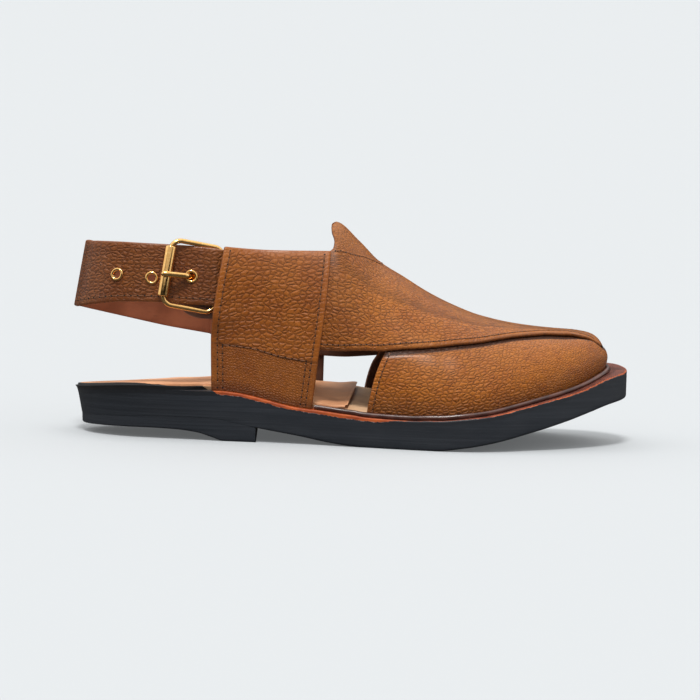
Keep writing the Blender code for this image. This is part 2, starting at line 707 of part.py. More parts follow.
def main():
    for old in list(bpy.data.objects):
        bpy.data.objects.remove(old)
    parts = bpy.data.collections.new("sandal")
    cutters = bpy.data.collections.new("cutters")
    bpy.context.scene.collection.children.link(parts)
    bpy.context.scene.collection.children.link(cutters)
    build_sole(parts)
    build_upper(parts, cutters)
    build_rand(parts)
    gold = build_strap(parts, cutters)
    build_buckle(parts, gold)


main()
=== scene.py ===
"""The looks of a right sandal: grained tan leather on a dark rubber sole, with a gold buckle at the heel strap.

Metres, +Z up, +X to the toe, -Y the outer side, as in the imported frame.
"""

import math

import bmesh
import bpy
import numpy as np
from mathutils import Matrix, Vector


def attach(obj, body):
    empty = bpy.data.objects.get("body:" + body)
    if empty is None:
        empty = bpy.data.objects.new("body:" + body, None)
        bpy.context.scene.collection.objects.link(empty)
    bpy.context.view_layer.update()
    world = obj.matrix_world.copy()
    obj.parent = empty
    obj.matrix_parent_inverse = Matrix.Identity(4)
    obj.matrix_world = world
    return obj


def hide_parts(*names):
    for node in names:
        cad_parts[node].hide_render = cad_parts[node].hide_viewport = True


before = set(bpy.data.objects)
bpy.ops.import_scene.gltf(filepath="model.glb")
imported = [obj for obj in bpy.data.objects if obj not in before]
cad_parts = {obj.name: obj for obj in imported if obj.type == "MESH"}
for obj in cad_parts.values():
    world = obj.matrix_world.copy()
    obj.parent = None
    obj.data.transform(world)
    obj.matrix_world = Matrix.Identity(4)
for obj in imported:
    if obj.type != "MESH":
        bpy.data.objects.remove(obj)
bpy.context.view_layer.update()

# Outsole: one piece of black rubber, cut full length and ground smooth along its side.
# Its plan and side view are the shoe's own, and every other piece is laid out from them.
LENGTH = 0.295
BALL_WIDTH = 0.106
SOLE_THICKNESS = 0.0155
MIDSOLE_THICKNESS = 0.0025
HEEL_RAISE = 0.0145
HEEL_REAR_RISE = 0.0056
TOE_SPRING = 0.025
HEEL_TAPER = 0.0030
SOLE_EDGE = 0.0013
HEEL_FLUSH = 0.0010
CLEARANCE = 0.0003
HEEL_ROUND = 0.13
TOE_ROUND = 0.22
SOLE_PLAN = {
    "along": (0, 0.10, 0.20, 0.30, 0.40, 0.50, 0.60, 0.68, 0.72, 0.76, 0.82, 0.893, 0.968, 1),
    "centre": (-0.028, -0.026, -0.017, -0.021, -0.036, -0.040, -0.030, -0.011, 0, 0.016, 0.038, 0.058, 0.073,
               0.0755),
    "half": (0.292, 0.309, 0.333, 0.332, 0.341, 0.379, 0.441, 0.487, 0.495, 0.484, 0.4425, 0.416, 0.398, 0.39),
}
SOLE_PROFILE = {
    "along": (0, 0.076, 0.134, 0.195, 0.249, 0.29, 0.3305, 0.4085, 0.463, 0.5, 0.527, 0.605, 0.652, 0.703, 0.751,
              0.822, 0.893, 0.9305, 0.968, 1),
    "heel": (0.66, 0.76, 0.83, 0.85, 0.83, 0.70, 0.535, 0.29, 0.10, 0.02, 0, 0, 0, 0, 0, 0, 0, 0, 0, 0),
    "toe": (0, 0, 0, 0, 0, 0, 0, 0, 0, 0, 0, 0, 0, 0.072, 0.172, 0.384, 0.636, 0.79, 0.932, 1),
    "thick": (0.79, 0.78, 0.77, 0.79, 0.87, 1, 1.058, 1, 1.06, 1.07, 1.03, 1, 1.04, 1.01, 0.968, 0.948, 0.91, 0.87,
              0.871, 0.92),
}
TWIST = {
    "along": (0, 0.07, 0.132, 0.205, 0.25, 0.30, 0.38, 0.45, 0.84, 0.90, 0.93, 0.955, 0.975, 1),
    "slope": (0.095, 0.100, 0.088, 0.052, 0.034, 0.008, -0.020, 0, 0, -0.035, -0.060, -0.075, -0.075, -0.070),
    "lift": (0, 0, 0, 0, 0, 0, 0, 0, 0, 0.0010, 0.0020, 0.0026, 0.0022, 0.0006),
}


def smooth(table, column, at, key="along"):
    """Reads a column between its rows with cubics that never overshoot, so that flats stay flat."""
    x, y = np.array(table[key], float), np.array(table[column], float)
    step, rise = np.diff(x), np.diff(y) / np.diff(x)
    slope = np.zeros(len(x))
    same = rise[:-1] * rise[1:] > 0
    weights = 2 * step[1:] + step[:-1], step[1:] + 2 * step[:-1]
    with np.errstate(divide="ignore", invalid="ignore"):
        mean = sum(weights) / (weights[0] / rise[:-1] + weights[1] / rise[1:])
    slope[1:-1] = np.where(same, mean, 0)
    slope[0], slope[-1] = rise[0], rise[-1]
    at = np.clip(np.asarray(at, float), x[0], x[-1])
    k = np.clip(np.searchsorted(x, at, "right") - 1, 0, len(x) - 2)
    u = (at - x[k]) / step[k]
    bend = (slope[k] * (1 - u) ** 2 * u - slope[k + 1] * u**2 * (1 - u)) * step[k]
    return y[k] * (1 + 2 * u) * (1 - u) ** 2 + y[k + 1] * (3 - 2 * u) * u**2 + bend


def ease(low, high, at):
    """Rises from 0 at low to 1 at high with level ends."""
    u = np.clip((np.asarray(at, float) - low) / (high - low), 0, 1)
    return u * u * (3 - 2 * u)


def plan(along, side_inset=0.0, heel_inset=None, toe_inset=None):
    """(x, y of the outer side, y of the inner side) of the sole's edge, drawn in by the insets.

    Half the width is the table's, times sqrt(1 - t^2) at the round heel and toe.
    """
    heel_inset = side_inset if heel_inset is None else heel_inset
    toe_inset = side_inset if toe_inset is None else toe_inset
    x = -LENGTH / 2 + heel_inset + along * (LENGTH - heel_inset - toe_inset)
    heel = np.clip(1 - along / HEEL_ROUND, 0, 1)
    toe = np.clip(1 - (1 - along) / TOE_ROUND, 0, 1)
    half = BALL_WIDTH * smooth(SOLE_PLAN, "half", along) - side_inset
    half = half * np.sqrt(1 - heel**2) * np.sqrt(1 - toe**2)
    middle = BALL_WIDTH * smooth(SOLE_PLAN, "centre", along)
    return x, middle - half, middle + half


def place(x):
    """Share of the length at which a point lies."""
    return (x + LENGTH / 2) / LENGTH


def sole_bottom(x):
    """Height of the outsole's underside: raised behind the breast, flat at the ball, sprung up at the toe."""
    s = place(x)
    return HEEL_RAISE * smooth(SOLE_PROFILE, "heel", s) + TOE_SPRING * smooth(SOLE_PROFILE, "toe", s)


def sole_top(x):
    """Height of the midsole's top, before the twist."""
    return sole_bottom(x) + SOLE_THICKNESS * smooth(SOLE_PROFILE, "thick", place(x))


def twist(x, y):
    """How far the sole's top is raised by its twist: its outer side at the heel, its inner side at the toe."""
    s = place(x)
    middle = BALL_WIDTH * smooth(SOLE_PLAN, "centre", s)
    return smooth(TWIST, "slope", s) * (middle - y) + smooth(TWIST, "lift", s)


def rounded_steps(first, last, count):
    """Places from first to last, close together where an end of the sole is round."""
    start = math.pi * (0 if first == 0 else 0.5)
    stop = math.pi * (1 if last == 1 else 0.5)
    turn = np.cos(np.linspace(start, stop, count))
    return first + (last - first) * (turn[0] - turn) / (turn[0] - turn[-1])


def closed_ring(x, outer, inner, z, twisted=1.0, inner_rise=0.0):
    """One closed ring, heel to toe on the outer side, then back, with a share of the sole's twist."""
    near = np.stack([x, outer, z + twisted * twist(x, outer)], -1)
    far = np.stack([x, inner, z + twisted * twist(x, inner) + inner_rise], -1)
    return np.concatenate([near, far[::-1]])


def both_sides(values):
    """Values along the outer side, then back along the inner side, in the order of a closed ring."""
    return np.concatenate([values, values[::-1]])


def quads(rows, columns, wrap_rows=False, wrap_columns=True):
    """Faces of a grid of points, row after row, closed on itself where it wraps."""
    row = np.arange(rows if wrap_rows else rows - 1)[:, None]
    column = np.arange(columns if wrap_columns else columns - 1)[None, :]
    next_row, next_column = (row + 1) % rows * columns, (column + 1) % columns
    row = row * columns
    return np.stack([row + column, next_row + column, next_row + next_column, row + next_column], -1).reshape(-1, 4)


def set_out(name, mesh, sharp=None, merge=None):
    """Makes an object of a mesh: points closer than merge joined, faces outwards, shaded smooth."""
    work = bmesh.new()
    work.from_mesh(mesh)
    if merge:
        bmesh.ops.remove_doubles(work, verts=work.verts, dist=merge)
    bmesh.ops.recalc_face_normals(work, faces=work.faces)
    work.to_mesh(mesh)
    work.free()
    mesh.shade_smooth()
    if sharp:
        mesh.set_sharp_from_angle(angle=math.radians(sharp))
    made = bpy.data.objects.new(name, mesh)
    bpy.context.scene.collection.objects.link(made)
    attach(made, "root")
    return made


def put_mesh(name, points, faces, finishes, values=None, cells=None, finish_of_face=None, sharp=50):
    """An object from points and faces, with point values as attributes and grain coordinates as a UV map."""
    mesh = bpy.data.meshes.new(name)
    mesh.from_pydata(np.reshape(points, (-1, 3)).tolist(), [], np.asarray(faces).tolist())
    for key, value in (values or {}).items():
        layer = mesh.attributes.new(key, "FLOAT", "POINT")
        layer.data.foreach_set("value", np.asarray(value, np.float32).ravel())
    if cells is not None:
        layer = mesh.uv_layers.new(name="grain")
        corner = np.zeros(len(mesh.loops), np.int32)
        mesh.loops.foreach_get("vertex_index", corner)
        layer.data.foreach_set("uv", np.reshape(cells, (-1, 2))[corner].astype(np.float32).ravel())
    for finish in finishes:
        mesh.materials.append(finish)
    if finish_of_face is not None:
        mesh.polygons.foreach_set("material_index", np.asarray(finish_of_face, np.int32))
    return set_out(name, mesh, sharp, merge=2e-6)


def lofted(name, rings, finish, values=None, sharp=50):
    """A solid from closed rings, lowest first."""
    length = len(rings[0])
    outer = np.arange(length // 2 - 1)
    strip = np.stack([outer, outer + 1, length - 2 - outer, length - 1 - outer], -1)
    faces = np.concatenate([quads(len(rings), length), strip, strip + (len(rings) - 1) * length])
    return put_mesh(name, np.array(rings), faces, [finish], values, sharp=sharp)


class Finish:
    """A material with its node tree and Principled shader, and short ways to add nodes to it."""

    def __init__(self, name, **plain):
        self.material = bpy.data.materials.new(name)
        self.material.use_nodes = True
        self.tree = self.material.node_tree
        self.shader = self.tree.nodes["Principled BSDF"]
        for socket, value in plain.items():
            self.shader.inputs[socket.replace("_", " ")].default_value = value

    def node(self, kind, settings=None, **inputs):
        """Adds a node. Inputs are given by name or, as in0, by number, as values or other nodes' sockets."""
        made = self.tree.nodes.new("ShaderNode" + kind)
        for key, value in (settings or {}).items():
            setattr(made, key, value)
        for key, value in inputs.items():
            target = made.inputs[int(key[2:])] if key[:2] == "in" and key[2:].isdigit() else made.inputs[key]
            self.feed(target, value)
        return made

    def feed(self, target, value):
        """Links a node's socket to an input, or sets a plain value on it."""
        if isinstance(value, bpy.types.NodeSocket):
            self.tree.links.new(value, target)
        else:
            target.default_value = value

    def maths(self, operation, first, second=0.0, third=0.0, clamp=False):
        """A sum, product or the like of values or sockets."""
        settings = {"operation": operation, "use_clamp": clamp}
        return self.node("Math", settings, in0=first, in1=second, in2=third).outputs[0]

    def ramp(self, value, low, high, from_low=0.0, from_high=1.0):
        """Goes smoothly from from_low at low to from_high at high."""
        settings = {"interpolation_type": "SMOOTHSTEP"}
        made = self.node("MapRange", settings, Value=value)
        for key, number in (("From Min", low), ("From Max", high), ("To Min", from_low), ("To Max", from_high)):
            self.feed(made.inputs[key], number)
        return made.outputs["Result"]

    def blend(self, share, first, second):
        """Mixes two colours."""
        made = self.node("Mix", {"data_type": "RGBA"})
        for number, value in ((0, share), (6, first), (7, second)):
            if number and isinstance(value, tuple):
                value = (*value, 1.0)
            self.feed(made.inputs[number], value)
        return made.outputs[2]

    def place(self, stretch=(1, 1, 1)):
        """The object's own coordinates, scaled."""
        where = self.node("TexCoord").outputs["Object"]
        return self.node("Mapping", Vector=where, Scale=stretch).outputs["Vector"]

    def noise(self, where, scale, detail=3.0, roughness=0.55, kind="3D"):
        """Cloudy noise from 0 to 1 at the given coordinates."""
        made = self.node("TexNoise", {"noise_dimensions": kind}, Vector=where, Scale=scale, Detail=detail)
        made.inputs["Roughness"].default_value = roughness
        return made.outputs["Fac"]

    def value(self, name):
        """The point value of that name."""
        return self.node("Attribute", {"attribute_name": name}).outputs["Fac"]

    def finish(self, colour, roughness=None, height=None, depth=0.0002):
        """Links colour and roughness, and a height in depths of relief, to the shader."""
        self.feed(self.shader.inputs["Base Color"], colour)
        if roughness is not None:
            self.feed(self.shader.inputs["Roughness"], roughness)
        if height is not None:
            bump = self.node("Bump", Height=height, Distance=depth, Strength=1.0)
            self.feed(self.shader.inputs["Normal"], bump.outputs["Normal"])
        return self.material


def rubber_finish():
    """Near-black rubber: faint lines along the side from grinding, a few specks and soft smears."""
    made = Finish("sole_rubber", Roughness=0.5, Specular_IOR_Level=0.35)
    lines = made.noise(made.place((14, 14, 900)), 1.0, 4)
    fine = made.noise(made.place(), 2600, 2)
    smear = made.noise(made.place((30, 30, 90)), 1.0, 3)
    colour = made.blend(made.ramp(lines, 0.35, 0.75), (0.016, 0.020, 0.027), (0.024, 0.029, 0.038))
    colour = made.blend(made.ramp(smear, 0.55, 0.8, 0, 0.35), colour, (0.030, 0.035, 0.043))
    rough = made.ramp(smear, 0.3, 0.75, 0.42, 0.62)
    height = made.maths("ADD", made.maths("MULTIPLY", lines, 1.0), made.maths("MULTIPLY", fine, 0.35))
    return made.finish(colour, rough, height, 0.00011)


sole_rubber = rubber_finish()
along = rounded_steps(0, 1, 260)


def sole_taper(share):
    """How far the outsole's underside is drawn in at the heel."""
    return HEEL_TAPER * (1 - ease(0.10, 0.34, share))


rings = []
at_heel = 1 - ease(0.22, 0.30, along)
edge = SOLE_EDGE * (0.15 + 0.85 * ease(0.29, 0.36, along))
for turn in np.linspace(0, math.pi / 2, 6):
    drawn = edge * (1 - math.sin(turn))
    rise = edge * (1 - math.cos(turn))
    toe_inset = SOLE_EDGE * (1 - math.sin(turn))
    x, outer, inner = plan(along, sole_taper(along) + drawn, HEEL_TAPER + drawn[0], toe_inset)
    rings.append(closed_ring(x, outer, inner, sole_bottom(x) + rise, 0))
for up in (0.2, 0.4, 0.6, 0.8, 1.0):
    inset = sole_taper(along) * (1 - up) + HEEL_FLUSH * at_heel * up
    x, outer, inner = plan(along, inset, float(inset[0]), 0.0)
    low = sole_bottom(x) + edge
    top = sole_top(x) - MIDSOLE_THICKNESS
    rings.append(closed_ring(x, outer, inner, low + (top - low) * up, up))
outsole = lofted("outsole_rubber", rings, sole_rubber)
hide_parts("outsole")

# Heel lift: a low block of the same rubber, glued under the heel and ground flush with the outsole.
# Its front face, the breast, is straight, and it stands on the flat just behind the breast.
HEEL_UNDER = {
    "along": (0, 0.056, 0.137, 0.181, 0.222, 0.252, 0.270, 0.3245),
    "rise": (0.75, 0.91, 1, 0.95, 0.73, 0.285, 0, 0),
}
HEEL_EDGE = 0.0010
HEEL_SETBACK = 0.0004
heel = rounded_steps(0, HEEL_UNDER["along"][-1], 110)
rings = []
for turn in np.linspace(0, math.pi / 2, 5):
    inset = sole_taper(heel) + HEEL_SETBACK + HEEL_EDGE * (1 - math.sin(turn))
    x, outer, inner = plan(heel, inset, float(inset[0]), float(inset[0]))
    z = HEEL_REAR_RISE * smooth(HEEL_UNDER, "rise", place(x)) + HEEL_EDGE * (1 - math.cos(turn))
    rings.append(closed_ring(x, outer, inner, z, 0))
for up in (0.5, 1.0):
    inset = sole_taper(heel) + HEEL_SETBACK * (1 - 0.6 * up)
    x, outer, inner = plan(heel, inset, float(inset[0]), float(inset[0]))
    low = HEEL_REAR_RISE * smooth(HEEL_UNDER, "rise", place(x)) + HEEL_EDGE
    rings.append(closed_ring(x, outer, inner, low + (sole_bottom(x) - low) * up, 0))
heel_block = lofted("heel_block", rings, sole_rubber)
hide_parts("heel_lift")


# Midsole: orange-red leather, whose top edge shows as the welt's shelf and is stitched round the toe.
# The black edge paint covers all of it at the heel, and ends in a rough line under the bare orange further on.
MIDSOLE_EDGE = 0.0007
WELT_PITCH = 0.0021
PAINT_LINE = {
    "along": (0, 0.235, 0.258, 0.30, 0.40, 0.48, 0.54, 0.57, 0.62, 0.72, 0.77, 0.84, 0.92, 1),
    "height": (9, 9, 0.7, 0.9, 1.0, 0.8, 0.8, 1.9, 2.9, 2.8, 2.3, 2.1, 2.0, 2.1),
}


def welt_finish():
    """Orange-red leather, dark red on its top, with black paint up to a rough, flaking line and slanted stitches."""
    made = Finish("welt_leather", Roughness=0.55, Specular_IOR_Level=0.35)
    where = made.place((160, 160, 500))
    streak = made.noise(where, 1.0, 4)
    rough_line = made.noise(made.place((150, 150, 420)), 1.0, 5, 0.65)
    tear = made.noise(made.place((520, 520, 700)), 1.0, 2)
    wobble = made.maths("ADD", rough_line, made.maths("MULTIPLY", tear, 0.35))
    line = made.maths("ADD", made.value("over_paint"), made.maths("MULTIPLY", wobble, 2.3))
    bare = made.ramp(line, 1.42, 1.58)
    orange = made.blend(made.ramp(streak, 0.3, 0.75), (0.27, 0.042, 0.008), (0.50, 0.102, 0.018))
    brown = made.blend(made.ramp(streak, 0.3, 0.75), (0.105, 0.028, 0.018), (0.23, 0.068, 0.045))
    leather = made.blend(made.value("shelf"), orange, brown)
    slant = made.maths("MULTIPLY_ADD", made.value("inset"), 0.45, made.value("stitch"))
    bite = made.maths("SUBTRACT", 1.0, made.ramp(made.maths("PINGPONG", slant, 0.5), 0.06, 0.17))
    bite = made.maths("MULTIPLY", bite, made.value("sewn"))
    leather = made.blend(made.maths("MULTIPLY", bite, 0.85), leather, (0.030, 0.012, 0.010))
    colour = made.blend(bare, (0.019, 0.022, 0.028), leather)
    below_line = made.maths("SUBTRACT", 1.0, made.ramp(line, 1.46, 1.56))
    torn = made.maths("MULTIPLY", made.ramp(line, 1.22, 1.40), below_line)
    torn = made.maths("MULTIPLY", torn, made.ramp(tear, 0.50, 0.60))
    colour = made.blend(made.maths("MULTIPLY", torn, 0.7), colour, (0.26, 0.23, 0.23))
    height = made.maths("ADD", made.maths("MULTIPLY", streak, 0.5), made.maths("MULTIPLY", bare, -0.6))
    height = made.maths("MULTIPLY_ADD", bite, -1.2, height)
    return made.finish(colour, made.ramp(bare, 0, 1, 0.4, 0.5), height, 0.00025)


welt_leather = welt_finish()
rings, over_paint, shelf, insets, stitch, sewn = [], [], [], [], [], []


def welt_ring(inset, level):
    """A ring of the midsole at a level in its thickness, with its height over the paint line in millimetres."""
    flush = HEEL_FLUSH * at_heel * (1 - 0.7 * level) - min(inset, MIDSOLE_EDGE) * at_heel
    x, outer, inner = plan(along, inset + flush, inset + float(flush[0]), inset)
    rings.append(closed_ring(x, outer, inner, sole_top(x) - MIDSOLE_THICKNESS * (1 - level)))
    height = 1000 * (MIDSOLE_THICKNESS * level + inset) - smooth(PAINT_LINE, "height", along)
    over_paint.append(both_sides(height))
    brown = ease(0.45, 0.60, along) * float(ease(0, 2 * MIDSOLE_EDGE, inset))
    shelf.append(both_sides(brown))
    steps = np.hypot(np.diff(x), np.diff(outer))
    pitches = np.concatenate([[0], np.cumsum(steps)]) / WELT_PITCH
    stitch.append(np.concatenate([pitches, -pitches[::-1]]))
    insets.append(np.full(2 * len(x), 1000 * inset))
    reach = ease(0.78, 0.83, along) * float(ease(0.0001, 0.0004, inset))
    sewn.append(both_sides(reach))


for level in (0, 0.25, 0.5, 1 - MIDSOLE_EDGE / MIDSOLE_THICKNESS):
    welt_ring(0.0, level)
for turn in np.linspace(0.3, math.pi / 2, 5):
    welt_ring(
        MIDSOLE_EDGE * (1 - math.cos(turn)),
        1 - MIDSOLE_EDGE / MIDSOLE_THICKNESS * (1 - math.sin(turn)),
    )
for inset in (0.0012, 0.0020, 0.0030, 0.0060):
    welt_ring(inset, 1)
values = {"over_paint": over_paint, "shelf": shelf, "inset": insets, "stitch": stitch, "sewn": sewn}
midsole = lofted("midsole_welt", rings, welt_leather, values)
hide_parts("midsole")


# Insole: brown leather over the midsole, inside the upper, lifted a little at the arch.
# At the heel it reaches the sole's edge, where the black edge paint covers its side.
INSOLE_THICKNESS = 0.0018
INSOLE_SETBACK = 0.0002
ARCH_RISE = 0.0055
LAST_SIDE_INSET = 0.0045
LAST_TOE_INSET = 0.0112
UPPER_WALLS = 0.0053
BAND_REAR_FOOT = 0.250
ARCH = {"along": (0.25, 0.35, 0.45, 0.53, 0.60, 0.72), "rise": (0, 0.5, 0.9, 1, 0.7, 0)}


def insole_inset(share):
    """How far the insole is drawn in: almost nothing at the heel, and inside the upper's walls further on."""
    inside = LAST_SIDE_INSET + UPPER_WALLS
    return INSOLE_SETBACK + (inside - INSOLE_SETBACK) * ease(0.17, BAND_REAR_FOOT - 0.01, share)


def smooth_leather(name, dark, light, roughness, painted=False):
    """Smooth lining leather: soft cloudy tone, fine pores and faint scuffs, with black paint on its side."""
    made = Finish(name, Roughness=roughness, Coat_Weight=0.05, Coat_Roughness=0.4)
    cloud = made.noise(made.place((60, 90, 90)), 1.0, 4)
    pores = made.noise(made.place(), 2200, 2)
    scuff = made.noise(made.place((140, 600, 600)), 1.0, 3)
    colour = made.blend(made.ramp(cloud, 0.3, 0.72), dark, light)
    colour = made.blend(made.ramp(scuff, 0.58, 0.78, 0, 0.35), colour, tuple(0.62 * c for c in dark))
    if painted:
        rough_line = made.noise(made.place((170, 170, 420)), 1.0, 5, 0.65)
        line = made.maths("ADD", made.value("over_paint"), made.maths("MULTIPLY", rough_line, 1.6))
        colour = made.blend(made.ramp(line, 0.78, 0.92), (0.016, 0.016, 0.018), colour)
    height = made.maths("ADD", made.maths("MULTIPLY", pores, 0.6), made.maths("MULTIPLY", scuff, 0.5))
    return made.finish(colour, made.ramp(cloud, 0.3, 0.7, roughness - 0.06, roughness + 0.08), height, 0.00009)


insole_leather = smooth_leather("insole_leather", (0.60, 0.34, 0.18), (0.80, 0.52, 0.31), 0.55, painted=True)
arch = ARCH_RISE * smooth(ARCH, "rise", along)
rings, over_paint = [], []
for drop, extra, flare in (
    (0, 0.0001, 0), (0.5, 0, 0.0003), (0.9, 0, 0.0010), (1, 0.0001, 0.0010), (1, 0.0006, 0.0008), (1, 0.0024, 0)
):
    inset = insole_inset(along) + extra - flare * at_heel
    x, outer, inner = plan(along, inset, float(inset[0]), LAST_TOE_INSET + UPPER_WALLS + extra)
    z = sole_top(x) + (CLEARANCE + INSOLE_THICKNESS) * drop
    rings.append(closed_ring(x, outer, inner, z, 1, arch * min(drop * 2, 1)))
    height = 1000 * (INSOLE_THICKNESS * drop + extra) - 4.0 * (1 - ease(0.24, 0.252, along)) * np.ones_like(x)
    over_paint.append(both_sides(height))
insole = lofted("insole_leather", rings, insole_leather, {"over_paint": over_paint})
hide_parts("insole")


# Heel sock: smooth tan leather glued on the insole from the heel to the arch.
# Its front edge has come loose and curls up a little.
SOCK_THICKNESS = 0.0012
SOCK_END = 0.530
SOCK_CURL = 0.0011
SOCK_SLANT = 0.0038
sock_leather = smooth_leather("sock_leather", (0.60, 0.27, 0.13), (0.78, 0.40, 0.21), 0.5, painted=True)
sock = rounded_steps(0, SOCK_END, 150)
arch = ARCH_RISE * smooth(ARCH, "rise", sock)
curl = SOCK_CURL * ease(SOCK_END - 0.045, SOCK_END, sock) ** 2
rings, over_paint = [], []
for level, extra in ((0, 0), (0.6, 0), (0.92, 0.0002), (1, 0.0008), (1, 0.003)):
    inset = insole_inset(sock) + CLEARANCE + extra
    x, outer, inner = plan(sock, inset, INSOLE_SETBACK + CLEARANCE + extra, LAST_TOE_INSET + UPPER_WALLS)
    z = sole_top(x) + CLEARANCE + INSOLE_THICKNESS + SOCK_THICKNESS * level + curl
    ring = closed_ring(x, outer, inner, z, 1, arch)
    ring[: len(x), 0] -= SOCK_SLANT * ease(SOCK_END - 0.10, SOCK_END, sock)
    ring[len(x) :, 0] += 0.3 * SOCK_SLANT * ease(SOCK_END - 0.10, SOCK_END, sock)[::-1]
    rings.append(ring)
    height = 1000 * (SOCK_THICKNESS * level + extra) - 2.6 * (1 - ease(0.03, 0.20, sock)) + 0.15
    over_paint.append(both_sides(height))
heel_sock = lofted("sock_leather", rings, sock_leather, {"over_paint": over_paint})
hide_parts("heel_sock")


# Toe piece: a puffed cap of grained leather, lasted over the toes and tucked under the instep leather.
# Its rear edges frame the windows at the sides. The last, which shapes the whole upper, is laid out here.
INSTEP_HEIGHT = 0.1155
LAST_RAKE = 0.0305
VAMP_WALL = 0.0022
TOE_WALL = 0.0021
TOE_PUFF = 0.0022
LAST = {
    "along": (0, 0.2457, 0.3668, 0.4843, 0.527, 0.566, 0.6125, 0.6588, 0.705, 0.7585, 0.826, 0.883, 0.9366, 0.972,
              1),
    "setback": (0, 0, 0, 0, 0, 0, 0, 0, 0, 0, 0.007, 0.020, 0.037, 0.0525, 0.061),
    "ridge": (1.02, 1.02, 1.02, 1.0, 0.915, 0.822, 0.754, 0.686, 0.632, 0.584, 0.551, 0.536, 0.527, 0.524, 0.5195),
    "middle": (-0.01, -0.01, 0, 0.01, 0.01, 0.01, 0.01, 0.01, 0.01, 0.015, 0.035, 0.052, 0.066, 0.073,
               0.0755),
    "side": (2, 2, 2, 2, 2, 2, 2, 2, 2, 2, 2.1, 2.3, 2.7, 3.0, 3.2),
    "crown": (6, 6, 4.6, 2.7, 2.4, 2.2, 2.0, 1.85, 1.75, 1.7, 1.8, 2.0, 2.3, 2.5, 2.6),
}
VAMP_EDGE = {
    "along": (0.40, 0.4843, 0.545, 0.641, 0.7336, 0.8476, 0.92, 0.96, 0.985, 1),
    "height": (0.312, 0.329, 0.4107, 0.558, 0.72, 0.885, 0.93, 0.93, 0.86, 0.62),
}
INNER_VAMP_EDGE = {
    "along": (0.40, 0.4843, 0.545, 0.641, 0.7336, 0.8476, 0.92, 0.96, 0.985, 1),
    "height": (0.225, 0.235, 0.300, 0.480, 0.68, 0.87, 0.93, 0.93, 0.86, 0.62),
}
TOE_PIECE_REAR = {"height": (0, 0.5, 1), "outer": (0.5295, 0.5485, 0.576), "inner": (0.5215, 0.5385, 0.5625)}
RIM_STEPS = 4
GRAIN_DEPTH = 0.00080


def out_and_back(steps):
    """Steps from 0 to 1, then the same steps mirrored, on to 2."""
    return np.concatenate([steps, 2 - steps[-2::-1]])


def last_plan(share):
    """The plan of the last's lower edge, inside the sole's own."""
    return plan(share, side_inset=LAST_SIDE_INSET, toe_inset=LAST_TOE_INSET)


def last_point(share, turn):
    """The last's surface, which is the outer face of the instep leather.

    turn runs from 0 at the outer side's edge over the ridge at a quarter turn to the inner side's edge at
    a half turn. Between the edge and the ridge, width goes as a power of the cosine and height as a power
    of the sine, and the whole section leans back by the rake.
    """
    x, outer, inner = last_plan(share)
    edge_y = np.where(turn < math.pi / 2, outer, inner)
    ridge_x = x - LENGTH * smooth(LAST, "setback", share)
    ridge_y = BALL_WIDTH * smooth(LAST, "middle", share)
    low = sole_top(x) + twist(x, edge_y) + CLEARANCE
    high = INSTEP_HEIGHT * smooth(LAST, "ridge", share)
    across = np.abs(np.cos(turn)) ** (2 / smooth(LAST, "side", share))
    up = np.sin(turn).clip(0, 1) ** (2 / smooth(LAST, "crown", share))
    lean = LAST_RAKE * (high - low) * up
    near_x = ridge_x + (x - ridge_x) * across - lean
    near_y = ridge_y + (edge_y - ridge_y) * across
    return np.stack([near_x, near_y, low + (high - low) * up], -1)


def turn_at(share, height):
    """The turn at which the last's surface reaches a share of its height."""
    return np.arcsin(np.clip(height, 0, 1) ** (smooth(LAST, "crown", share) / 2))


def share_at(share, z):
    """The share of the last's height at which a height lies."""
    low = sole_top(last_plan(share)[0]) + CLEARANCE
    return (z - low) / (INSTEP_HEIGHT * smooth(LAST, "ridge", share) - low)


def last_share(share):
    """Turns a share of the whole length into a share of the last's own length."""
    return (share * LENGTH - LAST_SIDE_INSET) / (LENGTH - LAST_SIDE_INSET - LAST_TOE_INSET)


def unit(vectors):
    """The same directions with length 1."""
    return vectors / np.linalg.norm(vectors, axis=-1, keepdims=True).clip(1e-12)


def normals(points, folded_end=False):
    """Directions out of a grid's surface, away from the foot."""
    out = unit(np.cross(np.gradient(points, axis=0), np.gradient(points, axis=1)))
    middle = np.zeros_like(points)
    middle[..., 0] = points[..., 0].clip(-0.10, 0.10)
    middle[..., 2] = 0.045
    out = out * np.sign((out * (points - middle)).sum())
    if folded_end:
        out[-1] = unit(out[-1] + out[-1][::-1])
    return out


def grain_cells(points, wide, high):
    """Grain coordinates: lengths along and up the grid, counted in pebbles of the given width and height."""
    steps = np.linalg.norm(np.diff(points, axis=0), axis=-1)
    wide = np.broadcast_to(wide, points.shape[:2])
    high = np.broadcast_to(high, points.shape[:2])
    along_rows = np.zeros(points.shape[:2])
    along_rows[1:] = np.cumsum(steps / ((wide[1:] + wide[:-1]) / 2), axis=0)
    steps = np.linalg.norm(np.diff(points, axis=1), axis=-1)
    up_columns = np.zeros(points.shape[:2])
    up_columns[:, 1:] = np.cumsum(steps / ((high[:, 1:] + high[:, :-1]) / 2), axis=1)
    return np.stack([along_rows, up_columns], -1)


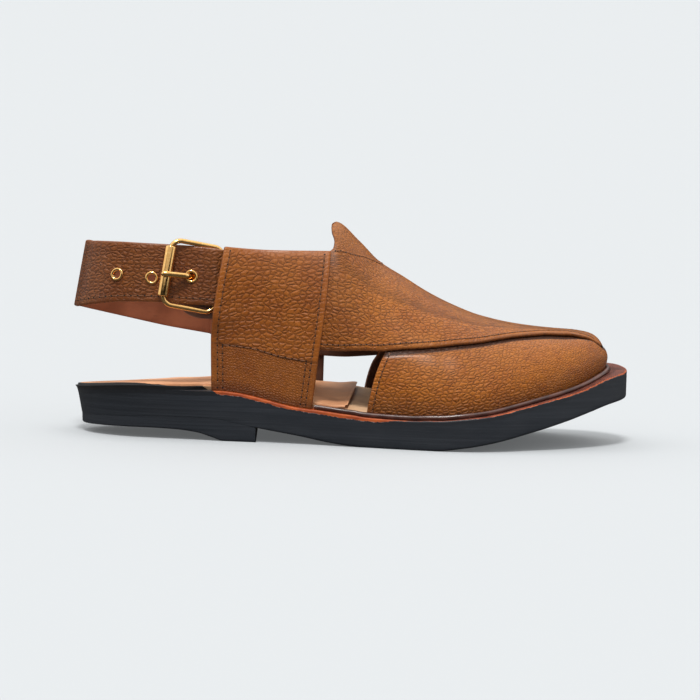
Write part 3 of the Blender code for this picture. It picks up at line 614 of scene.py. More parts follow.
def leather_sheet(name, face, wall, finishes, cells, values, folded_end=False):
    """A closed sheet of leather whose outer face is the grid and whose rim is a half circle.

    Past each edge the grid goes on for a few steps. With r the larger of the two steps' shares and
    a = r pi / 2, a point lies wall/2 sin(a) out from the edge and wall/2 (1 - cos(a)) in from the face.
    The inner face is the same grid, mirrored about the middle of the wall.
    """
    out = normals(face, folded_end)
    rows, columns = face.shape[:2]
    i = np.arange(-RIM_STEPS, rows + (0 if folded_end else RIM_STEPS))
    j = np.arange(-RIM_STEPS, columns + RIM_STEPS)
    near_i, near_j = i.clip(0, rows - 1), j.clip(0, columns - 1)
    over_i = ((i - near_i) / RIM_STEPS)[:, None]
    over_j = ((j - near_j) / RIM_STEPS)[None, :]
    pick = np.ix_(near_i, near_j)
    run_i = unit(np.gradient(face, axis=0))[pick]
    run_j = unit(np.gradient(face, axis=1))[pick]
    reach = np.maximum(np.abs(over_i), np.abs(over_j))
    size = np.hypot(over_i, over_j).clip(1e-9)
    away = (run_i * over_i[..., None] + run_j * over_j[..., None]) / size[..., None]
    angle = (reach * math.pi / 2)[..., None]
    base, outwards = face[pick] + away * np.sin(angle) * wall / 2, out[pick]
    sink = (1 - np.cos(angle)) * wall / 2
    upper, lower = base - outwards * sink, base - outwards * (wall - sink)
    faces = quads(len(i), len(j), wrap_columns=False)
    both = np.concatenate([faces, faces[:, ::-1] + len(i) * len(j)])
    rim = reach[:-1, :-1].ravel() + reach[1:, 1:].ravel() > 0.9
    finish_of_face = np.concatenate([np.where(rim, 2, 0), np.where(rim, 2, 1)])
    twice = {key: [np.broadcast_to(value, (rows, columns))[pick]] * 2 for key, value in values.items()}
    made = put_mesh(
        name, np.stack([upper, lower]), both, finishes, twice, np.stack([cells[pick]] * 2), finish_of_face, sharp=80
    )
    return made, face, out


def edge_lengths(face):
    """Distances over the grid from its first and last row and its first and last column."""
    down = np.linalg.norm(np.diff(face, axis=0), axis=-1)
    over = np.linalg.norm(np.diff(face, axis=1), axis=-1)
    from_first_row, from_first_column = np.zeros(face.shape[:2]), np.zeros(face.shape[:2])
    from_first_row[1:] = np.cumsum(down, axis=0)
    from_first_column[:, 1:] = np.cumsum(over, axis=1)
    return (
        from_first_row,
        from_first_row[-1:] - from_first_row,
        from_first_column,
        from_first_column[:, -1:] - from_first_column,
    )


def grained_leather(name, dark, base, light):
    """Pebble-grained leather with a satin coat.

    The pebbles are cells of the grain coordinates with painted shade in the creases between them, smaller
    wrinkles on them, and cloudy tone. "calm" flattens them, and the darkening value darkens and reddens the
    leather: painted shade in gaps, grooves and beside other pieces, and darker edges and feet.
    """
    made = Finish(name, Roughness=0.4, Specular_IOR_Level=0.24, Coat_Weight=0.42, Coat_Roughness=0.30)
    uv = made.node("UVMap", {"uv_map": "grain"}).outputs["UV"]
    drift = made.node("TexNoise", {"noise_dimensions": "2D"}, Vector=uv, Scale=0.55, Detail=2.0).outputs["Color"]
    drift = made.node("VectorMath", {"operation": "SUBTRACT"}, in0=drift, in1=(0.5, 0.5, 0.5)).outputs[0]
    drift = made.node("VectorMath", {"operation": "SCALE"}, in0=drift, Scale=0.9).outputs[0]
    warped = made.node("VectorMath", {"operation": "ADD"}, in0=uv, in1=drift).outputs[0]

    def cells(scale, feature, randomness=0.78):
        settings = {"voronoi_dimensions": "2D", "feature": feature}
        return made.node("TexVoronoi", settings, Vector=warped, Scale=scale, Randomness=randomness)

    pebble = cells(1.0, "DISTANCE_TO_EDGE").outputs["Distance"]
    nearest = cells(1.0, "F1").outputs
    tone = made.node("SeparateColor", Color=nearest["Color"]).outputs[0]
    within = made.node("VectorMath", {"operation": "SUBTRACT"}, in0=warped, in1=nearest["Position"]).outputs[0]
    within = made.node("SeparateXYZ", Vector=within).outputs[1]
    slope = made.maths("MULTIPLY", made.maths("MULTIPLY", within, 0.65), made.value("lean"))
    wrinkle = cells(2.6, "DISTANCE_TO_EDGE", 1.0).outputs["Distance"]
    pores = made.noise(uv, 9.0, 2, kind="2D")
    near = made.maths("MULTIPLY", pebble, 2.4, clamp=True)
    dome = made.maths("MULTIPLY", near, made.maths("SUBTRACT", 2.0, near))
    crease = made.ramp(pebble, 0.0, 0.13)
    calm = made.value("calm")
    lively = made.maths("SUBTRACT", 1.0, calm)
    relief = made.maths("MULTIPLY", dome, made.maths("ADD", made.maths("MULTIPLY_ADD", tone, 0.35, 0.70), slope))
    relief = made.maths("MULTIPLY_ADD", made.ramp(wrinkle, 0.0, 0.14), 0.06, relief)
    swell = made.noise(uv, 0.45, 2, kind="2D")
    relief = made.maths("MULTIPLY_ADD", swell, 0.6, relief)
    relief = made.maths("MULTIPLY", relief, made.maths("MULTIPLY_ADD", lively, 0.88, 0.12))
    relief = made.maths("MULTIPLY_ADD", pores, 0.07, relief)
    cloud = made.noise(made.place(), 42, 4)
    fine_cloud = made.noise(made.place(), 210, 3)
    mixed = made.maths("MULTIPLY_ADD", fine_cloud, 0.45, made.maths("MULTIPLY", cloud, 0.75))
    colour = made.blend(made.ramp(mixed, 0.42, 0.78), base, light)
    crease_shade = made.maths("MULTIPLY", made.maths("SUBTRACT", 1.0, crease), lively)
    # Painted shade: the creases between the pebbles are darkened.
    colour = made.blend(made.maths("MULTIPLY", crease_shade, 0.38), colour, dark)
    colour = made.blend(made.maths("MULTIPLY", tone, 0.10), colour, dark)
    # Painted shade, and darker edges and feet: the darkening value turns the leather a deep red-brown.
    shade_and_burnish = made.value("shade_and_burnish")
    colour = made.blend(made.maths("MULTIPLY", shade_and_burnish, 0.94), colour, (0.030, 0.009, 0.005))
    rough = made.ramp(mixed, 0.4, 0.8, 0.36, 0.48)
    rough = made.maths("MULTIPLY_ADD", crease_shade, 0.18, rough)
    return made.finish(colour, rough, relief, GRAIN_DEPTH)


def rim_finish(name, dark, light):
    """A cut or folded leather edge: smoother, burnished, with fine streaks."""
    made = Finish(name, Roughness=0.5, Coat_Weight=0.1, Coat_Roughness=0.35)
    streak = made.noise(made.place((700, 700, 700)), 1.0, 3)
    colour = made.blend(made.ramp(streak, 0.3, 0.75), dark, light)
    return made.finish(colour, None, streak, 0.0001)


TAN_DARK, TAN, TAN_LIGHT = (0.09, 0.020, 0.002), (0.345, 0.093, 0.003), (0.43, 0.133, 0.008)
vamp_leather = grained_leather("instep_grain", TAN_DARK, TAN, TAN_LIGHT)
lining = smooth_leather("upper_lining", (0.075, 0.028, 0.016), (0.13, 0.055, 0.032), 0.55)
tan_rim = rim_finish("leather_rim", (0.13, 0.034, 0.004), (0.28, 0.082, 0.012))

round_toe = out_and_back(np.sin(np.linspace(0, math.pi / 2, 120)))[:, None]
up = np.linspace(0, 1, 70)[None, :]
outer_rear = smooth(TOE_PIECE_REAR, "outer", up, key="height")
inner_rear = smooth(TOE_PIECE_REAR, "inner", up, key="height")
rear = last_share(np.where(round_toe <= 1, outer_rear, inner_rear))
toe_along = rear + (1 - rear) * (1 - np.abs(1 - round_toe))
inner_edge = smooth(INNER_VAMP_EDGE, "height", toe_along)
edge_height = np.where(round_toe <= 1, smooth(VAMP_EDGE, "height", toe_along), inner_edge)
turn = turn_at(toe_along, np.minimum(edge_height + 0.10, 0.97)) * up
turn = np.where(round_toe <= 1, turn, math.pi - turn)
points = last_point(toe_along, turn)
height = share_at(toe_along, points[..., 2])
under = ease(-0.02, 0.075, height - edge_height + 0.035)
# A painted shadow: a dark band on the toe piece just below the instep leather's edge, where it is tucked under.
gap = ease(-0.050 - 0.05 * ease(0.88, 1, toe_along), -0.028, height - edge_height)
puff = TOE_PUFF * np.sin(math.pi * np.clip(up / 0.86, 0, 1)) ** 0.8
offset = (puff - VAMP_WALL + 0.0012) * (1 - under) - (VAMP_WALL + 0.0002) * under
face = points + normals(points) * offset[..., None]
first_row, last_row, first_column, _ = edge_lengths(face)
at_edge = 1 - ease(0.0005, 0.0040, np.minimum(first_row, last_row))
at_foot = 1 - ease(0.0, 0.006, first_column)
ahead = ease(0.75, 0.97, toe_along)
cells = grain_cells(face, 0.0031 - 0.0013 * ahead, 0.0020 - 0.0008 * ahead)
# The toe piece is also darker towards its foot.
dark_foot = 0.36 * (1 - ease(0.0, 0.004, first_column)) + 0.42 * (1 - ease(0, 0.017, first_column))
values = {
    "calm": np.clip(0.4 * at_edge + 0.5 * at_foot + 0.5 * ahead, 0, 0.92),
    "shade_and_burnish": np.clip(dark_foot + gap, 0, 1),
    "lean": np.ones_like(first_column),
}
toe_piece, toe_face, toe_out = leather_sheet(
    "toe_piece", face, TOE_WALL, [vamp_leather, lining, tan_rim], cells, values
)
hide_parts("upper")

# Rand: a round glossy cord of dark leather laid along the foot of the toe piece.
RAND_RADIUS = 0.0013
RAND_START = 0.4255


def tube(name, centre, radius, finish, sides=14, closed=False):
    """A round bar along a line: rings stand across its run, turned as little as possible from one to the next."""
    centre = np.asarray(centre, float)
    count = len(centre)
    if closed:
        run = unit(np.roll(centre, -1, 0) - np.roll(centre, 1, 0))
    else:
        run = unit(np.gradient(centre, axis=0))
    side = np.zeros_like(centre)
    side[0] = unit(np.cross(run[0], (0.31, 0.17, 0.93)))
    for k in range(1, count):
        side[k] = unit(side[k - 1] - run[k] * side[k - 1].dot(run[k]))
    turned = 0.0
    if closed:
        again = unit(side[-1] - run[0] * side[-1].dot(run[0]))
        turned = math.atan2(np.cross(side[0], again).dot(run[0]), side[0].dot(again))
    angle = np.linspace(0, 2 * math.pi, sides, endpoint=False)[None, :]
    angle = angle - turned * np.linspace(0, 1, count)[:, None]
    other = np.cross(run, side)
    radius = np.broadcast_to(radius, (count,))[:, None, None]
    around = np.cos(angle)[..., None] * side[:, None] + np.sin(angle)[..., None] * other[:, None]
    points = centre[:, None] + radius * around
    faces = quads(count, sides, wrap_rows=closed)
    if not closed:
        ends = np.array([centre[0], centre[-1]])
        points = np.concatenate([points.reshape(-1, 3), ends])
        tip = np.arange(sides)
        last = (count - 1) * sides
        first_cap = np.stack([(tip + 1) % sides, tip, np.full(sides, count * sides)], -1)
        last_cap = np.stack([last + tip, last + (tip + 1) % sides, np.full(sides, count * sides + 1)], -1)
        faces = faces.tolist() + first_cap.tolist() + last_cap.tolist()
    mesh = bpy.data.meshes.new(name)
    mesh.from_pydata(points.reshape(-1, 3).tolist(), [], [list(f) for f in faces])
    mesh.materials.append(finish)
    return set_out(name, mesh, sharp=60)


def bead_finish():
    """Dark brown polished leather cord with a wet gloss and slight unevenness."""
    made = Finish("rand_leather", Roughness=0.32, Coat_Weight=0.5, Coat_Roughness=0.24)
    cloud = made.noise(made.place((130, 130, 130)), 1.0, 3)
    colour = made.blend(made.ramp(cloud, 0.35, 0.7), (0.040, 0.012, 0.009), (0.100, 0.034, 0.023))
    return made.finish(colour, made.ramp(cloud, 0.3, 0.7, 0.28, 0.38), cloud, 0.00006)


round_toe = out_and_back(np.sin(np.linspace(0, math.pi / 2, 150)))
start = last_share(RAND_START) + 2 * RAND_RADIUS / LENGTH
rand_along = start + (1 - start) * (1 - np.abs(1 - round_toe))
x, outer, inner = last_plan(rand_along)
foot = np.stack([x, np.where(round_toe <= 1, outer, inner)], -1)
run = np.gradient(foot, axis=0)
out = np.stack([run[:, 1], -run[:, 0]], -1) / np.linalg.norm(run, axis=1)[:, None]
centre = foot + out * (RAND_RADIUS - 0.0004)
height = sole_top(x) + twist(x, centre[:, 1]) + 0.0001 + RAND_RADIUS
rand = tube("rand_bead", np.column_stack([centre, height]), RAND_RADIUS, bead_finish())
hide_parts("rand")


# Instep leather: one soft leaf from the toe's tip over the instep to a raised peak, on top of the toe piece.
# Its lower edges are folded and stitched, and a seam crosses it below the peak's softer cuff.
VAMP_FOLD = 0.0014
THROAT = {
    "height": (0, 0.76, 0.85, 0.885, 0.92, 0.965, 0.985, 1),
    "along": (0.4185, 0.4185, 0.4590, 0.4715, 0.4735, 0.4685, 0.4680, 0.4735),
}
INNER_THROAT = {
    "height": (0, 0.68, 0.76, 0.84, 0.92, 0.965, 0.985, 1),
    "along": (0.4185, 0.4185, 0.4610, 0.4725, 0.4735, 0.4685, 0.4680, 0.4735),
}
THROAT_MIDDLE = 0.45
COLLAR_SEAM = {
    "side": (0.524, 0.545, 0.567, 0.60, 0.697, 0.827, 0.899, 1),
    "x": (-0.0137, -0.0098, -0.0063, -0.0026, 0.0038, 0.0101, 0.0133, 0.0145),
}
side_steps = np.concatenate([np.linspace(0, 0.12, 14), np.linspace(0.12, 1, 62)[1:]])
mirror = out_and_back(side_steps)[None, :]
rise = 1 - np.abs(1 - mirror)
share = np.sin(np.linspace(0, math.pi / 2, 190))[:, None]
low = turn_at(THROAT_MIDDLE, smooth(VAMP_EDGE, "height", THROAT_MIDDLE))
throat_height = np.sin(low + (math.pi / 2 - low) * rise) ** (2 / smooth(LAST, "crown", THROAT_MIDDLE))
outer_rear = smooth(THROAT, "along", throat_height, key="height")
inner_rear = smooth(INNER_THROAT, "along", throat_height, key="height")
rear = last_share(np.where(mirror <= 1, outer_rear, inner_rear))
vamp_along = rear + (1 - rear) * share
fold = VAMP_FOLD / (INSTEP_HEIGHT * smooth(LAST, "ridge", vamp_along) - sole_top(last_plan(vamp_along)[0]))
outer_edge = smooth(VAMP_EDGE, "height", vamp_along) + fold
inner_edge = smooth(INNER_VAMP_EDGE, "height", vamp_along)
first = turn_at(vamp_along, np.where(mirror <= 1, outer_edge, inner_edge))
turn = first + (math.pi / 2 - first) * rise
turn = np.where(mirror <= 1, turn, math.pi - turn)
face = last_point(vamp_along, turn)
first_row, _, first_column, last_column = edge_lengths(face)
lower_edge = np.minimum(first_column, last_column)
ahead = ease(0.06, 0.125, face[..., 0])
crest = ease(0.7, 1.0, rise + 0 * share)
seam_x = smooth(COLLAR_SEAM, "x", rise, key="side")
cuff = (1 - ease(-0.0012, 0.0012, face[..., 0] - seam_x)) * (rise > COLLAR_SEAM["side"][0])
near_band = 1 - ease(-0.012, 0.02, face[..., 0])
fine = np.clip(ahead + 0.35 * crest + 0.9 * cuff, 0, 1)
cells = grain_cells(
    face,
    (0.0031 + 0.0006 * near_band) * (1 - 0.42 * fine),
    (0.0020 + 0.0003 * near_band) * (1 - 0.40 * fine),
)
cells[..., 1] = np.minimum(cells[..., 1], cells[:, -1:, 1] - cells[..., 1])
# Painted shade on the instep leather beside the bands, away from its crest; it is also darker along its lower edges.
values = {
    "calm": np.clip(0.6 * (1 - ease(0.0004, 0.0024, lower_edge)) + 0.45 * ahead + 0.35 * cuff, 0, 0.92),
    "shade_and_burnish": np.clip(0.4 * (1 - ease(0.0, 0.0010, lower_edge)) + 0.28 * near_band * (1 - crest), 0, 1),
    "lean": np.clip(1.5 * np.abs(np.cos(turn)), 0, 1),
}
vamp, vamp_face, vamp_out = leather_sheet(
    "instep_leather", face, VAMP_WALL, [vamp_leather, lining, tan_rim], cells, values, folded_end=True
)
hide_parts("upper")


# Side bands: leather from the welt up each side, over the instep leather's wings, with a folded top edge.
# A cross seam divides the plain, tightly pulled lower part from the grained upper part.
BAND_WALL = 0.0022
BAND_OUT = 0.0016
BAND_TOP = 0.1008
INNER_BAND_TOP = 0.0950
BAND_LIFT = 0.0045
BAND_LIFT_REACH = 0.0295
SEAM_WIDTH = 0.0009
SEAM_GROOVE = 0.00016
LOWER_SUNK = 0.00010
CROSS_SEAM = {"across": (0, 0.38, 0.65, 1), "z": (0.0517, 0.0499, 0.0463, 0.0437)}
BAND_EDGES = {
    "height": (0, 0.35, 0.70, 1),
    "rear": (0.250, 0.2495, 0.260, 0.2735),
    "front": (0.4255, 0.4385, 0.4515, 0.4597),
    "inner_front": (0.4435, 0.4465, 0.4525, 0.4597),
}


def side_point(share, z, side):
    """A point of the last's side, at a share of the whole length and a height."""
    s = last_share(share)
    turn = turn_at(s, share_at(s, z))
    return last_point(s, np.where(side < 0, turn, math.pi - turn))


def band_lift(x, z):
    """How far the outer band's rear edge is lifted by the strap and the hinge that lie under it."""
    rear = -LENGTH / 2 + LENGTH * BAND_EDGES["rear"][0]
    reach = np.clip(1 - (x - rear) / BAND_LIFT_REACH, 0, 1)
    return BAND_LIFT * reach**2 * ease(0.052, 0.068, z)


band_leather = grained_leather("band_grain", TAN_DARK, (0.265, 0.068, 0.002), (0.335, 0.097, 0.005))
band_faces = {}
for name, side, top in (("outer_band", -1, BAND_TOP), ("inner_band", 1, INNER_BAND_TOP)):
    up = np.linspace(0, 1, 130)[:, None]
    across = np.linspace(0, 1, 96)[None, :]
    rear = smooth(BAND_EDGES, "rear", up, key="height")
    front = smooth(BAND_EDGES, "front" if side < 0 else "inner_front", up, key="height")
    band_along = rear + (front - rear) * across
    low = sole_top(-LENGTH / 2 + band_along * LENGTH) + 0.0001
    z = low + (top - low) * up
    points = side_point(band_along, z, side)
    lifted = band_lift(points[..., 0], z) if side < 0 else 0 * z
    face = points + normals(points) * (BAND_OUT + lifted)[..., None]
    from_foot, from_top, from_rear, from_front = edge_lengths(face)
    seam = smooth(CROSS_SEAM, "z", across, key="across") + 0 * z
    below = 1 - ease(-0.0008, 0.0008, z - seam)
    groove = np.exp(-(((z - seam) / SEAM_WIDTH) ** 2))
    groove = groove * ease(0.05, 0.09, across) * (1 - ease(0.91, 0.95, across))
    face = face - normals(points) * (SEAM_GROOVE * groove + LOWER_SUNK * below)[..., None]
    edge_calm = 1 - ease(0.0006, 0.0030, np.minimum(np.minimum(from_rear, from_front), from_top))
    cells = grain_cells(face, 0.0024, 0.0036)[..., ::-1]
    cells[..., 1] -= 0.30 * cells[..., 0]
    cells = np.where(below[..., None] > 0.5, grain_cells(face, 0.0014, 0.0018)[..., ::-1], cells)
    # Painted shade in the cross seam's groove; the band is also darker below the seam, towards its foot and at its
    # edges.
    values = {
        "calm": np.clip(0.85 * edge_calm + 0.40 * below + 0.25 * (1 - ease(0.0, 0.03, z - seam)), 0, 0.93),
        "shade_and_burnish": np.clip(
            0.16 * below + 0.5 * (1 - ease(0.0, 0.007, from_foot)) + 0.10 * groove + 0.06 * edge_calm, 0, 1
        ),
        "lean": np.ones_like(z),
    }
    band, band_face, band_out = leather_sheet(name, face, BAND_WALL, [band_leather, lining, tan_rim], cells, values)
    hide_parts("upper")
    band_faces[name] = band_face, band_out


# Heel strap: one strap of grained leather with a smooth red-brown lining, from inside the outer band, round
# the heel, to inside the inner band. Three round holes are punched through it for the eyelets.
STRAP_WALL = 0.0020
STRAP_LEVEL = 0.104
STRAP_TUCK = 0.0120
STRAP_EASE = 0.0008
UNDER_BAND = 0.0012
HEEL_LEAN = 0.0062
HEEL_BACK = 0.0028
EYELET_HOLE = 0.0020
EYELET_FLANGE = 0.0036
STRAP = {
    "way": (-1, -0.75, -0.60, -0.45, -0.25, -0.08, 0, 0.06, 0.12, 0.25, 0.55, 0.8, 0.9, 1),
    "top": (0.952, 0.975, 0.980, 0.982, 0.983, 0.978, 0.968, 0.950, 0.938, 0.915, 0.860, 0.825, 0.81, 0.80),
    "foot": (0.690, 0.696, 0.697, 0.697, 0.690, 0.665, 0.645, 0.628, 0.615, 0.590, 0.535, 0.50, 0.487, 0.478),
    "out": (1.3, 1.2, 0.75, 0.6, 0.6, 1.2, 1.5, 1.3, 1.0, 0.6, 0.3, -0.2, -0.65, -0.65),
}
EYELETS = {"place": (0.0783, 0.1397, 0.2109), "level": (0.45, 0.40, 0.47)}


def strap_grid(way, level):
    """The heel strap's own flat-sided surface: straight across its width between two points of the last."""
    share = np.abs(way) * last_share(BAND_EDGES["rear"][-2] + STRAP_TUCK / LENGTH)
    foot = STRAP_LEVEL * smooth(STRAP, "foot", way, key="way")
    top = STRAP_LEVEL * smooth(STRAP, "top", way, key="way")

    def edge(z):
        turn = turn_at(share, share_at(share, z))
        return last_point(share, np.where(way < 0, turn, math.pi - turn))

    low, high = edge(foot), edge(top)
    low[..., 0] -= HEEL_BACK * np.clip(1 - share / HEEL_ROUND, 0, 1)
    high[..., 0] += (HEEL_LEAN - HEEL_BACK) * np.clip(1 - share / HEEL_ROUND, 0, 1)
    return low + (high - low) * np.asarray(level, float)[..., None]


def strap_out(way, x, z):
    """How far out the strap's outer face lies: its table, but under a band it stays clear of the band."""
    lift = np.where(way < 0, band_lift(x, z), 0)
    under = lift - UNDER_BAND - STRAP_EASE
    covered = np.where(way < 0, True, x > -LENGTH / 2 + LENGTH * (BAND_EDGES["rear"][0] - 0.01))
    table = STRAP_WALL * smooth(STRAP, "out", way, key="way")
    return np.where(covered, np.minimum(table, under), table)


def way_at(share_of_length):
    """The outer side's place on the strap's way at a share of the whole length."""
    return -last_share(share_of_length) / last_share(BAND_EDGES["rear"][-2] + STRAP_TUCK / LENGTH)


def strap_frame(share_of_length, level):
    """A point of the strap's outer face there, with the directions back along it, up it and out of it."""
    step = 1e-3
    way = way_at(share_of_length)
    ways = np.array([[way - step, way - step], [way, way], [way + step, way + step]])
    levels = np.array([[level, level + step]] * 3)
    grid = strap_grid(ways, levels)
    back, up = unit(grid[2, 0] - grid[0, 0]), unit(grid[1, 1] - grid[1, 0])
    out = np.cross(up, back)
    out *= -np.sign(out[1]) / np.linalg.norm(out)
    point = grid[1, 0]
    return point + out * float(strap_out(way, point[0], point[2])), back, up, out


half = 1 - np.cos(np.linspace(0, math.pi / 2, 130))
way = np.concatenate([-half[::-1], half[1:]])[:, None] * np.ones((1, 40))
level = np.linspace(0, 1, 40)[None, :] * np.ones_like(way)
points = strap_grid(way, level)
face = points + normals(points) * strap_out(way, points[..., 0], points[..., 2])[..., None]
_, _, from_foot, from_top = edge_lengths(face)
near_foot = 1 - ease(0.0008, 0.0030, from_foot)
near_top = 1 - ease(0.0004, 0.0020, from_top)
strap_leather = grained_leather("strap_grain", TAN_DARK, (0.150, 0.037, 0.003), (0.205, 0.059, 0.006))
red_lining = smooth_leather("strap_lining", (0.20, 0.058, 0.024), (0.30, 0.095, 0.042), 0.5)
values = {
    "calm": np.clip(0.7 * near_foot + 0.6 * near_top, 0, 0.9),
    "shade_and_burnish": np.clip(0.3 * (1 - ease(0, 0.0012, from_foot)), 0, 1),
    "lean": np.ones_like(level),
}
strap, strap_face, strap_normal = leather_sheet(
    "heel_strap_leather", face, STRAP_WALL, [strap_leather, red_lining, tan_rim],
    grain_cells(face, 0.0034, 0.0021), values,
)
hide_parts("heel_strap")
for share, hole_level in zip(EYELETS["place"], EYELETS["level"]):
    seat, back, up, out = strap_frame(share, hole_level)
    bpy.ops.mesh.primitive_cylinder_add(vertices=32, radius=EYELET_HOLE + 0.0004, depth=6 * STRAP_WALL)
    punch = bpy.context.object
    turned = Matrix((Vector(back), Vector(up), Vector(out))).transposed().to_4x4()
    punch.matrix_world = Matrix.Translation(Vector(seat)) @ turned
    cut = strap.modifiers.new("punched", "BOOLEAN")
    cut.operation, cut.solver, cut.object = "DIFFERENCE", "EXACT", punch
    bpy.context.view_layer.update()
    baked = bpy.data.meshes.new_from_object(strap.evaluated_get(bpy.context.evaluated_depsgraph_get()))
    strap.modifiers.clear()
    strap.data = baked
    bpy.data.objects.remove(punch)


# Buckle pad: a dark leather pad sewn behind the buckle, inside the strap.
PAD_SPAN = (0.1847, 0.2932)
PAD_LEVELS = (-0.250, 0.84)
PAD_CORNER = 0.45
PAD_ROUND = 0.34
PAD_WALL = 0.0014
WIRE_RADIUS = 0.0012
HINGE_PLACE = 0.2610
FRAME_LEVELS = (0.527, 0.44)
BUCKLE_EASE = 0.0006


def outer_face(share_of_length, level):
    """How far out the strap's outer face lies from its own surface at a place on the outer side."""
    way = way_at(share_of_length)
    point = strap_grid(np.array([[way]]), np.array([[level]]))[0, 0]
    return float(strap_out(way, point[0], point[2]))


hinge_out = outer_face(HINGE_PLACE, FRAME_LEVELS[1]) - STRAP_WALL - CLEARANCE - WIRE_RADIUS
pad_leather = smooth_leather("pad_leather", (0.115, 0.046, 0.026), (0.19, 0.085, 0.05), 0.5)
way = way_at(np.linspace(*PAD_SPAN, 60))[:, None] * np.ones((1, 50))
corner = 1 - np.linspace(0, 1, 60)[:, None] / PAD_CORNER
lowest = PAD_LEVELS[0] + PAD_ROUND * (1 - np.sqrt(1 - corner.clip(0, 1) ** 2))
level = lowest + (PAD_LEVELS[1] - lowest) * np.linspace(0, 1, 50)[None, :]
points = strap_grid(way, level)
face = points + normals(points) * (hinge_out - WIRE_RADIUS - BUCKLE_EASE)
pad, _, _ = leather_sheet(
    "buckle_pad_leather", face, PAD_WALL, [pad_leather] * 3, grain_cells(face, 0.002, 0.002), {"calm": 0 * level}
)
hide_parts("buckle_pad")


# Eyelets: rolled gold-coloured rings, pressed into the strap's three holes.
def gold_finish():
    """Polished gold-coloured metal with fine wear in its gloss."""
    made = Finish("gold_metal", Metallic=1.0, Roughness=0.14)
    wear = made.noise(made.place(), 900, 4)
    streak = made.noise(made.place((300, 300, 1500)), 1.0, 2)
    colour = made.blend(made.ramp(wear, 0.35, 0.75), (0.88, 0.50, 0.17), (1.0, 0.65, 0.26))
    rough = made.ramp(streak, 0.3, 0.8, 0.09, 0.22)
    return made.finish(colour, rough, wear, 0.000006)


gold = gold_finish()


def turned_ring(name, profile, origin, axes, finish, steps=48):
    """A ring turned about its own axis from a closed profile of (radius, height) points."""
    radius, height = np.array(profile).T
    angle = np.linspace(0, 2 * math.pi, steps, endpoint=False)[:, None]
    back, up, out = axes
    across = np.cos(angle)[..., None] * back + np.sin(angle)[..., None] * up
    points = origin + across * radius[None, :, None] + height[None, :, None] * out
    return put_mesh(name, points, quads(steps, len(radius), wrap_rows=True), [finish], sharp=60)


EYELET_CROWN = 0.0007
for number, (share, hole_level) in enumerate(zip(EYELETS["place"], EYELETS["level"]), 1):
    seat, back, up, out = strap_frame(share, hole_level)
    rim = (EYELET_FLANGE - EYELET_HOLE) / 2
    middle = EYELET_HOLE + rim
    arc = np.linspace(0, math.pi, 13)
    profile = [(middle + rim * math.cos(a), 0.0003 + EYELET_CROWN * math.sin(a)) for a in arc]
    profile += [(EYELET_HOLE, -STRAP_WALL), (EYELET_HOLE + 0.0003, -STRAP_WALL), (EYELET_HOLE + 0.0003, 0.0001)]
    profile += [(EYELET_FLANGE, 0.0001)]
    eyelet = turned_ring(f"eyelet_ring_{number}", profile, seat, (back, up, out), gold)
    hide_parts(f"eyelet_{number}")


# Buckle: a bent wire frame whose hinge bar lies inside the strap, a roller on its rear bar, and a prong
# that comes up through the front eyelet and rests on the roller.
FRAME_HEIGHT = 0.0372
FRAME_CORNER = 0.0055
ROLLER_RADIUS = 0.0030
ROLLER_LENGTH = 0.027
ROLLER_EDGE = 0.0005
ROLLER_PLACE = 0.1680
PRONG_RADIUS = 0.0016
PRONG_OVERHANG = 0.0027
roller_seat, _, _, roller_normal = strap_frame(ROLLER_PLACE, FRAME_LEVELS[0])
roller = roller_seat + roller_normal * (BUCKLE_EASE + ROLLER_RADIUS)
hinge_seat, _, up, hinge_normal = strap_frame(HINGE_PLACE, FRAME_LEVELS[1])
hinge = hinge_seat - hinge_normal * (STRAP_WALL + CLEARANCE + WIRE_RADIUS)
reach = hinge - roller
length = float(np.linalg.norm(reach))
forward = reach / length
up = unit(up - forward * up.dot(forward))
out = np.cross(forward, up)
tall = FRAME_HEIGHT / 2 - WIRE_RADIUS
line = []
for quarter, (fx, fy) in enumerate(((1, 1), (0, 1), (0, -1), (1, -1))):
    bend = math.pi / 2 * quarter + np.linspace(0, math.pi / 2, 12)
    across = length * fx + FRAME_CORNER * (1 if fx == 0 else -1) + FRAME_CORNER * np.cos(bend)
    high = fy * (tall - FRAME_CORNER) + FRAME_CORNER * np.sin(bend)
    line.append(roller + np.outer(across, forward) + np.outer(high, up))
buckle_frame = tube("buckle_wire", np.concatenate(line), WIRE_RADIUS * 1.12, gold, sides=20, closed=True)
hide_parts("buckle_frame")

half_length = ROLLER_LENGTH / 2
rounded = [
    (ROLLER_RADIUS - ROLLER_EDGE * (1 - math.sin(a)), half_length - ROLLER_EDGE * (1 - math.cos(a)))
    for a in np.linspace(math.pi / 2, 0, 6)
]
profile = rounded + [(WIRE_RADIUS + CLEARANCE, half_length), (WIRE_RADIUS + CLEARANCE, -half_length)]
profile += [(radius, -height) for radius, height in rounded[::-1]]
roller_tube = turned_ring("buckle_roller_tube", profile, roller, (forward, np.cross(up, forward), up), gold)
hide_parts("buckle_roller")

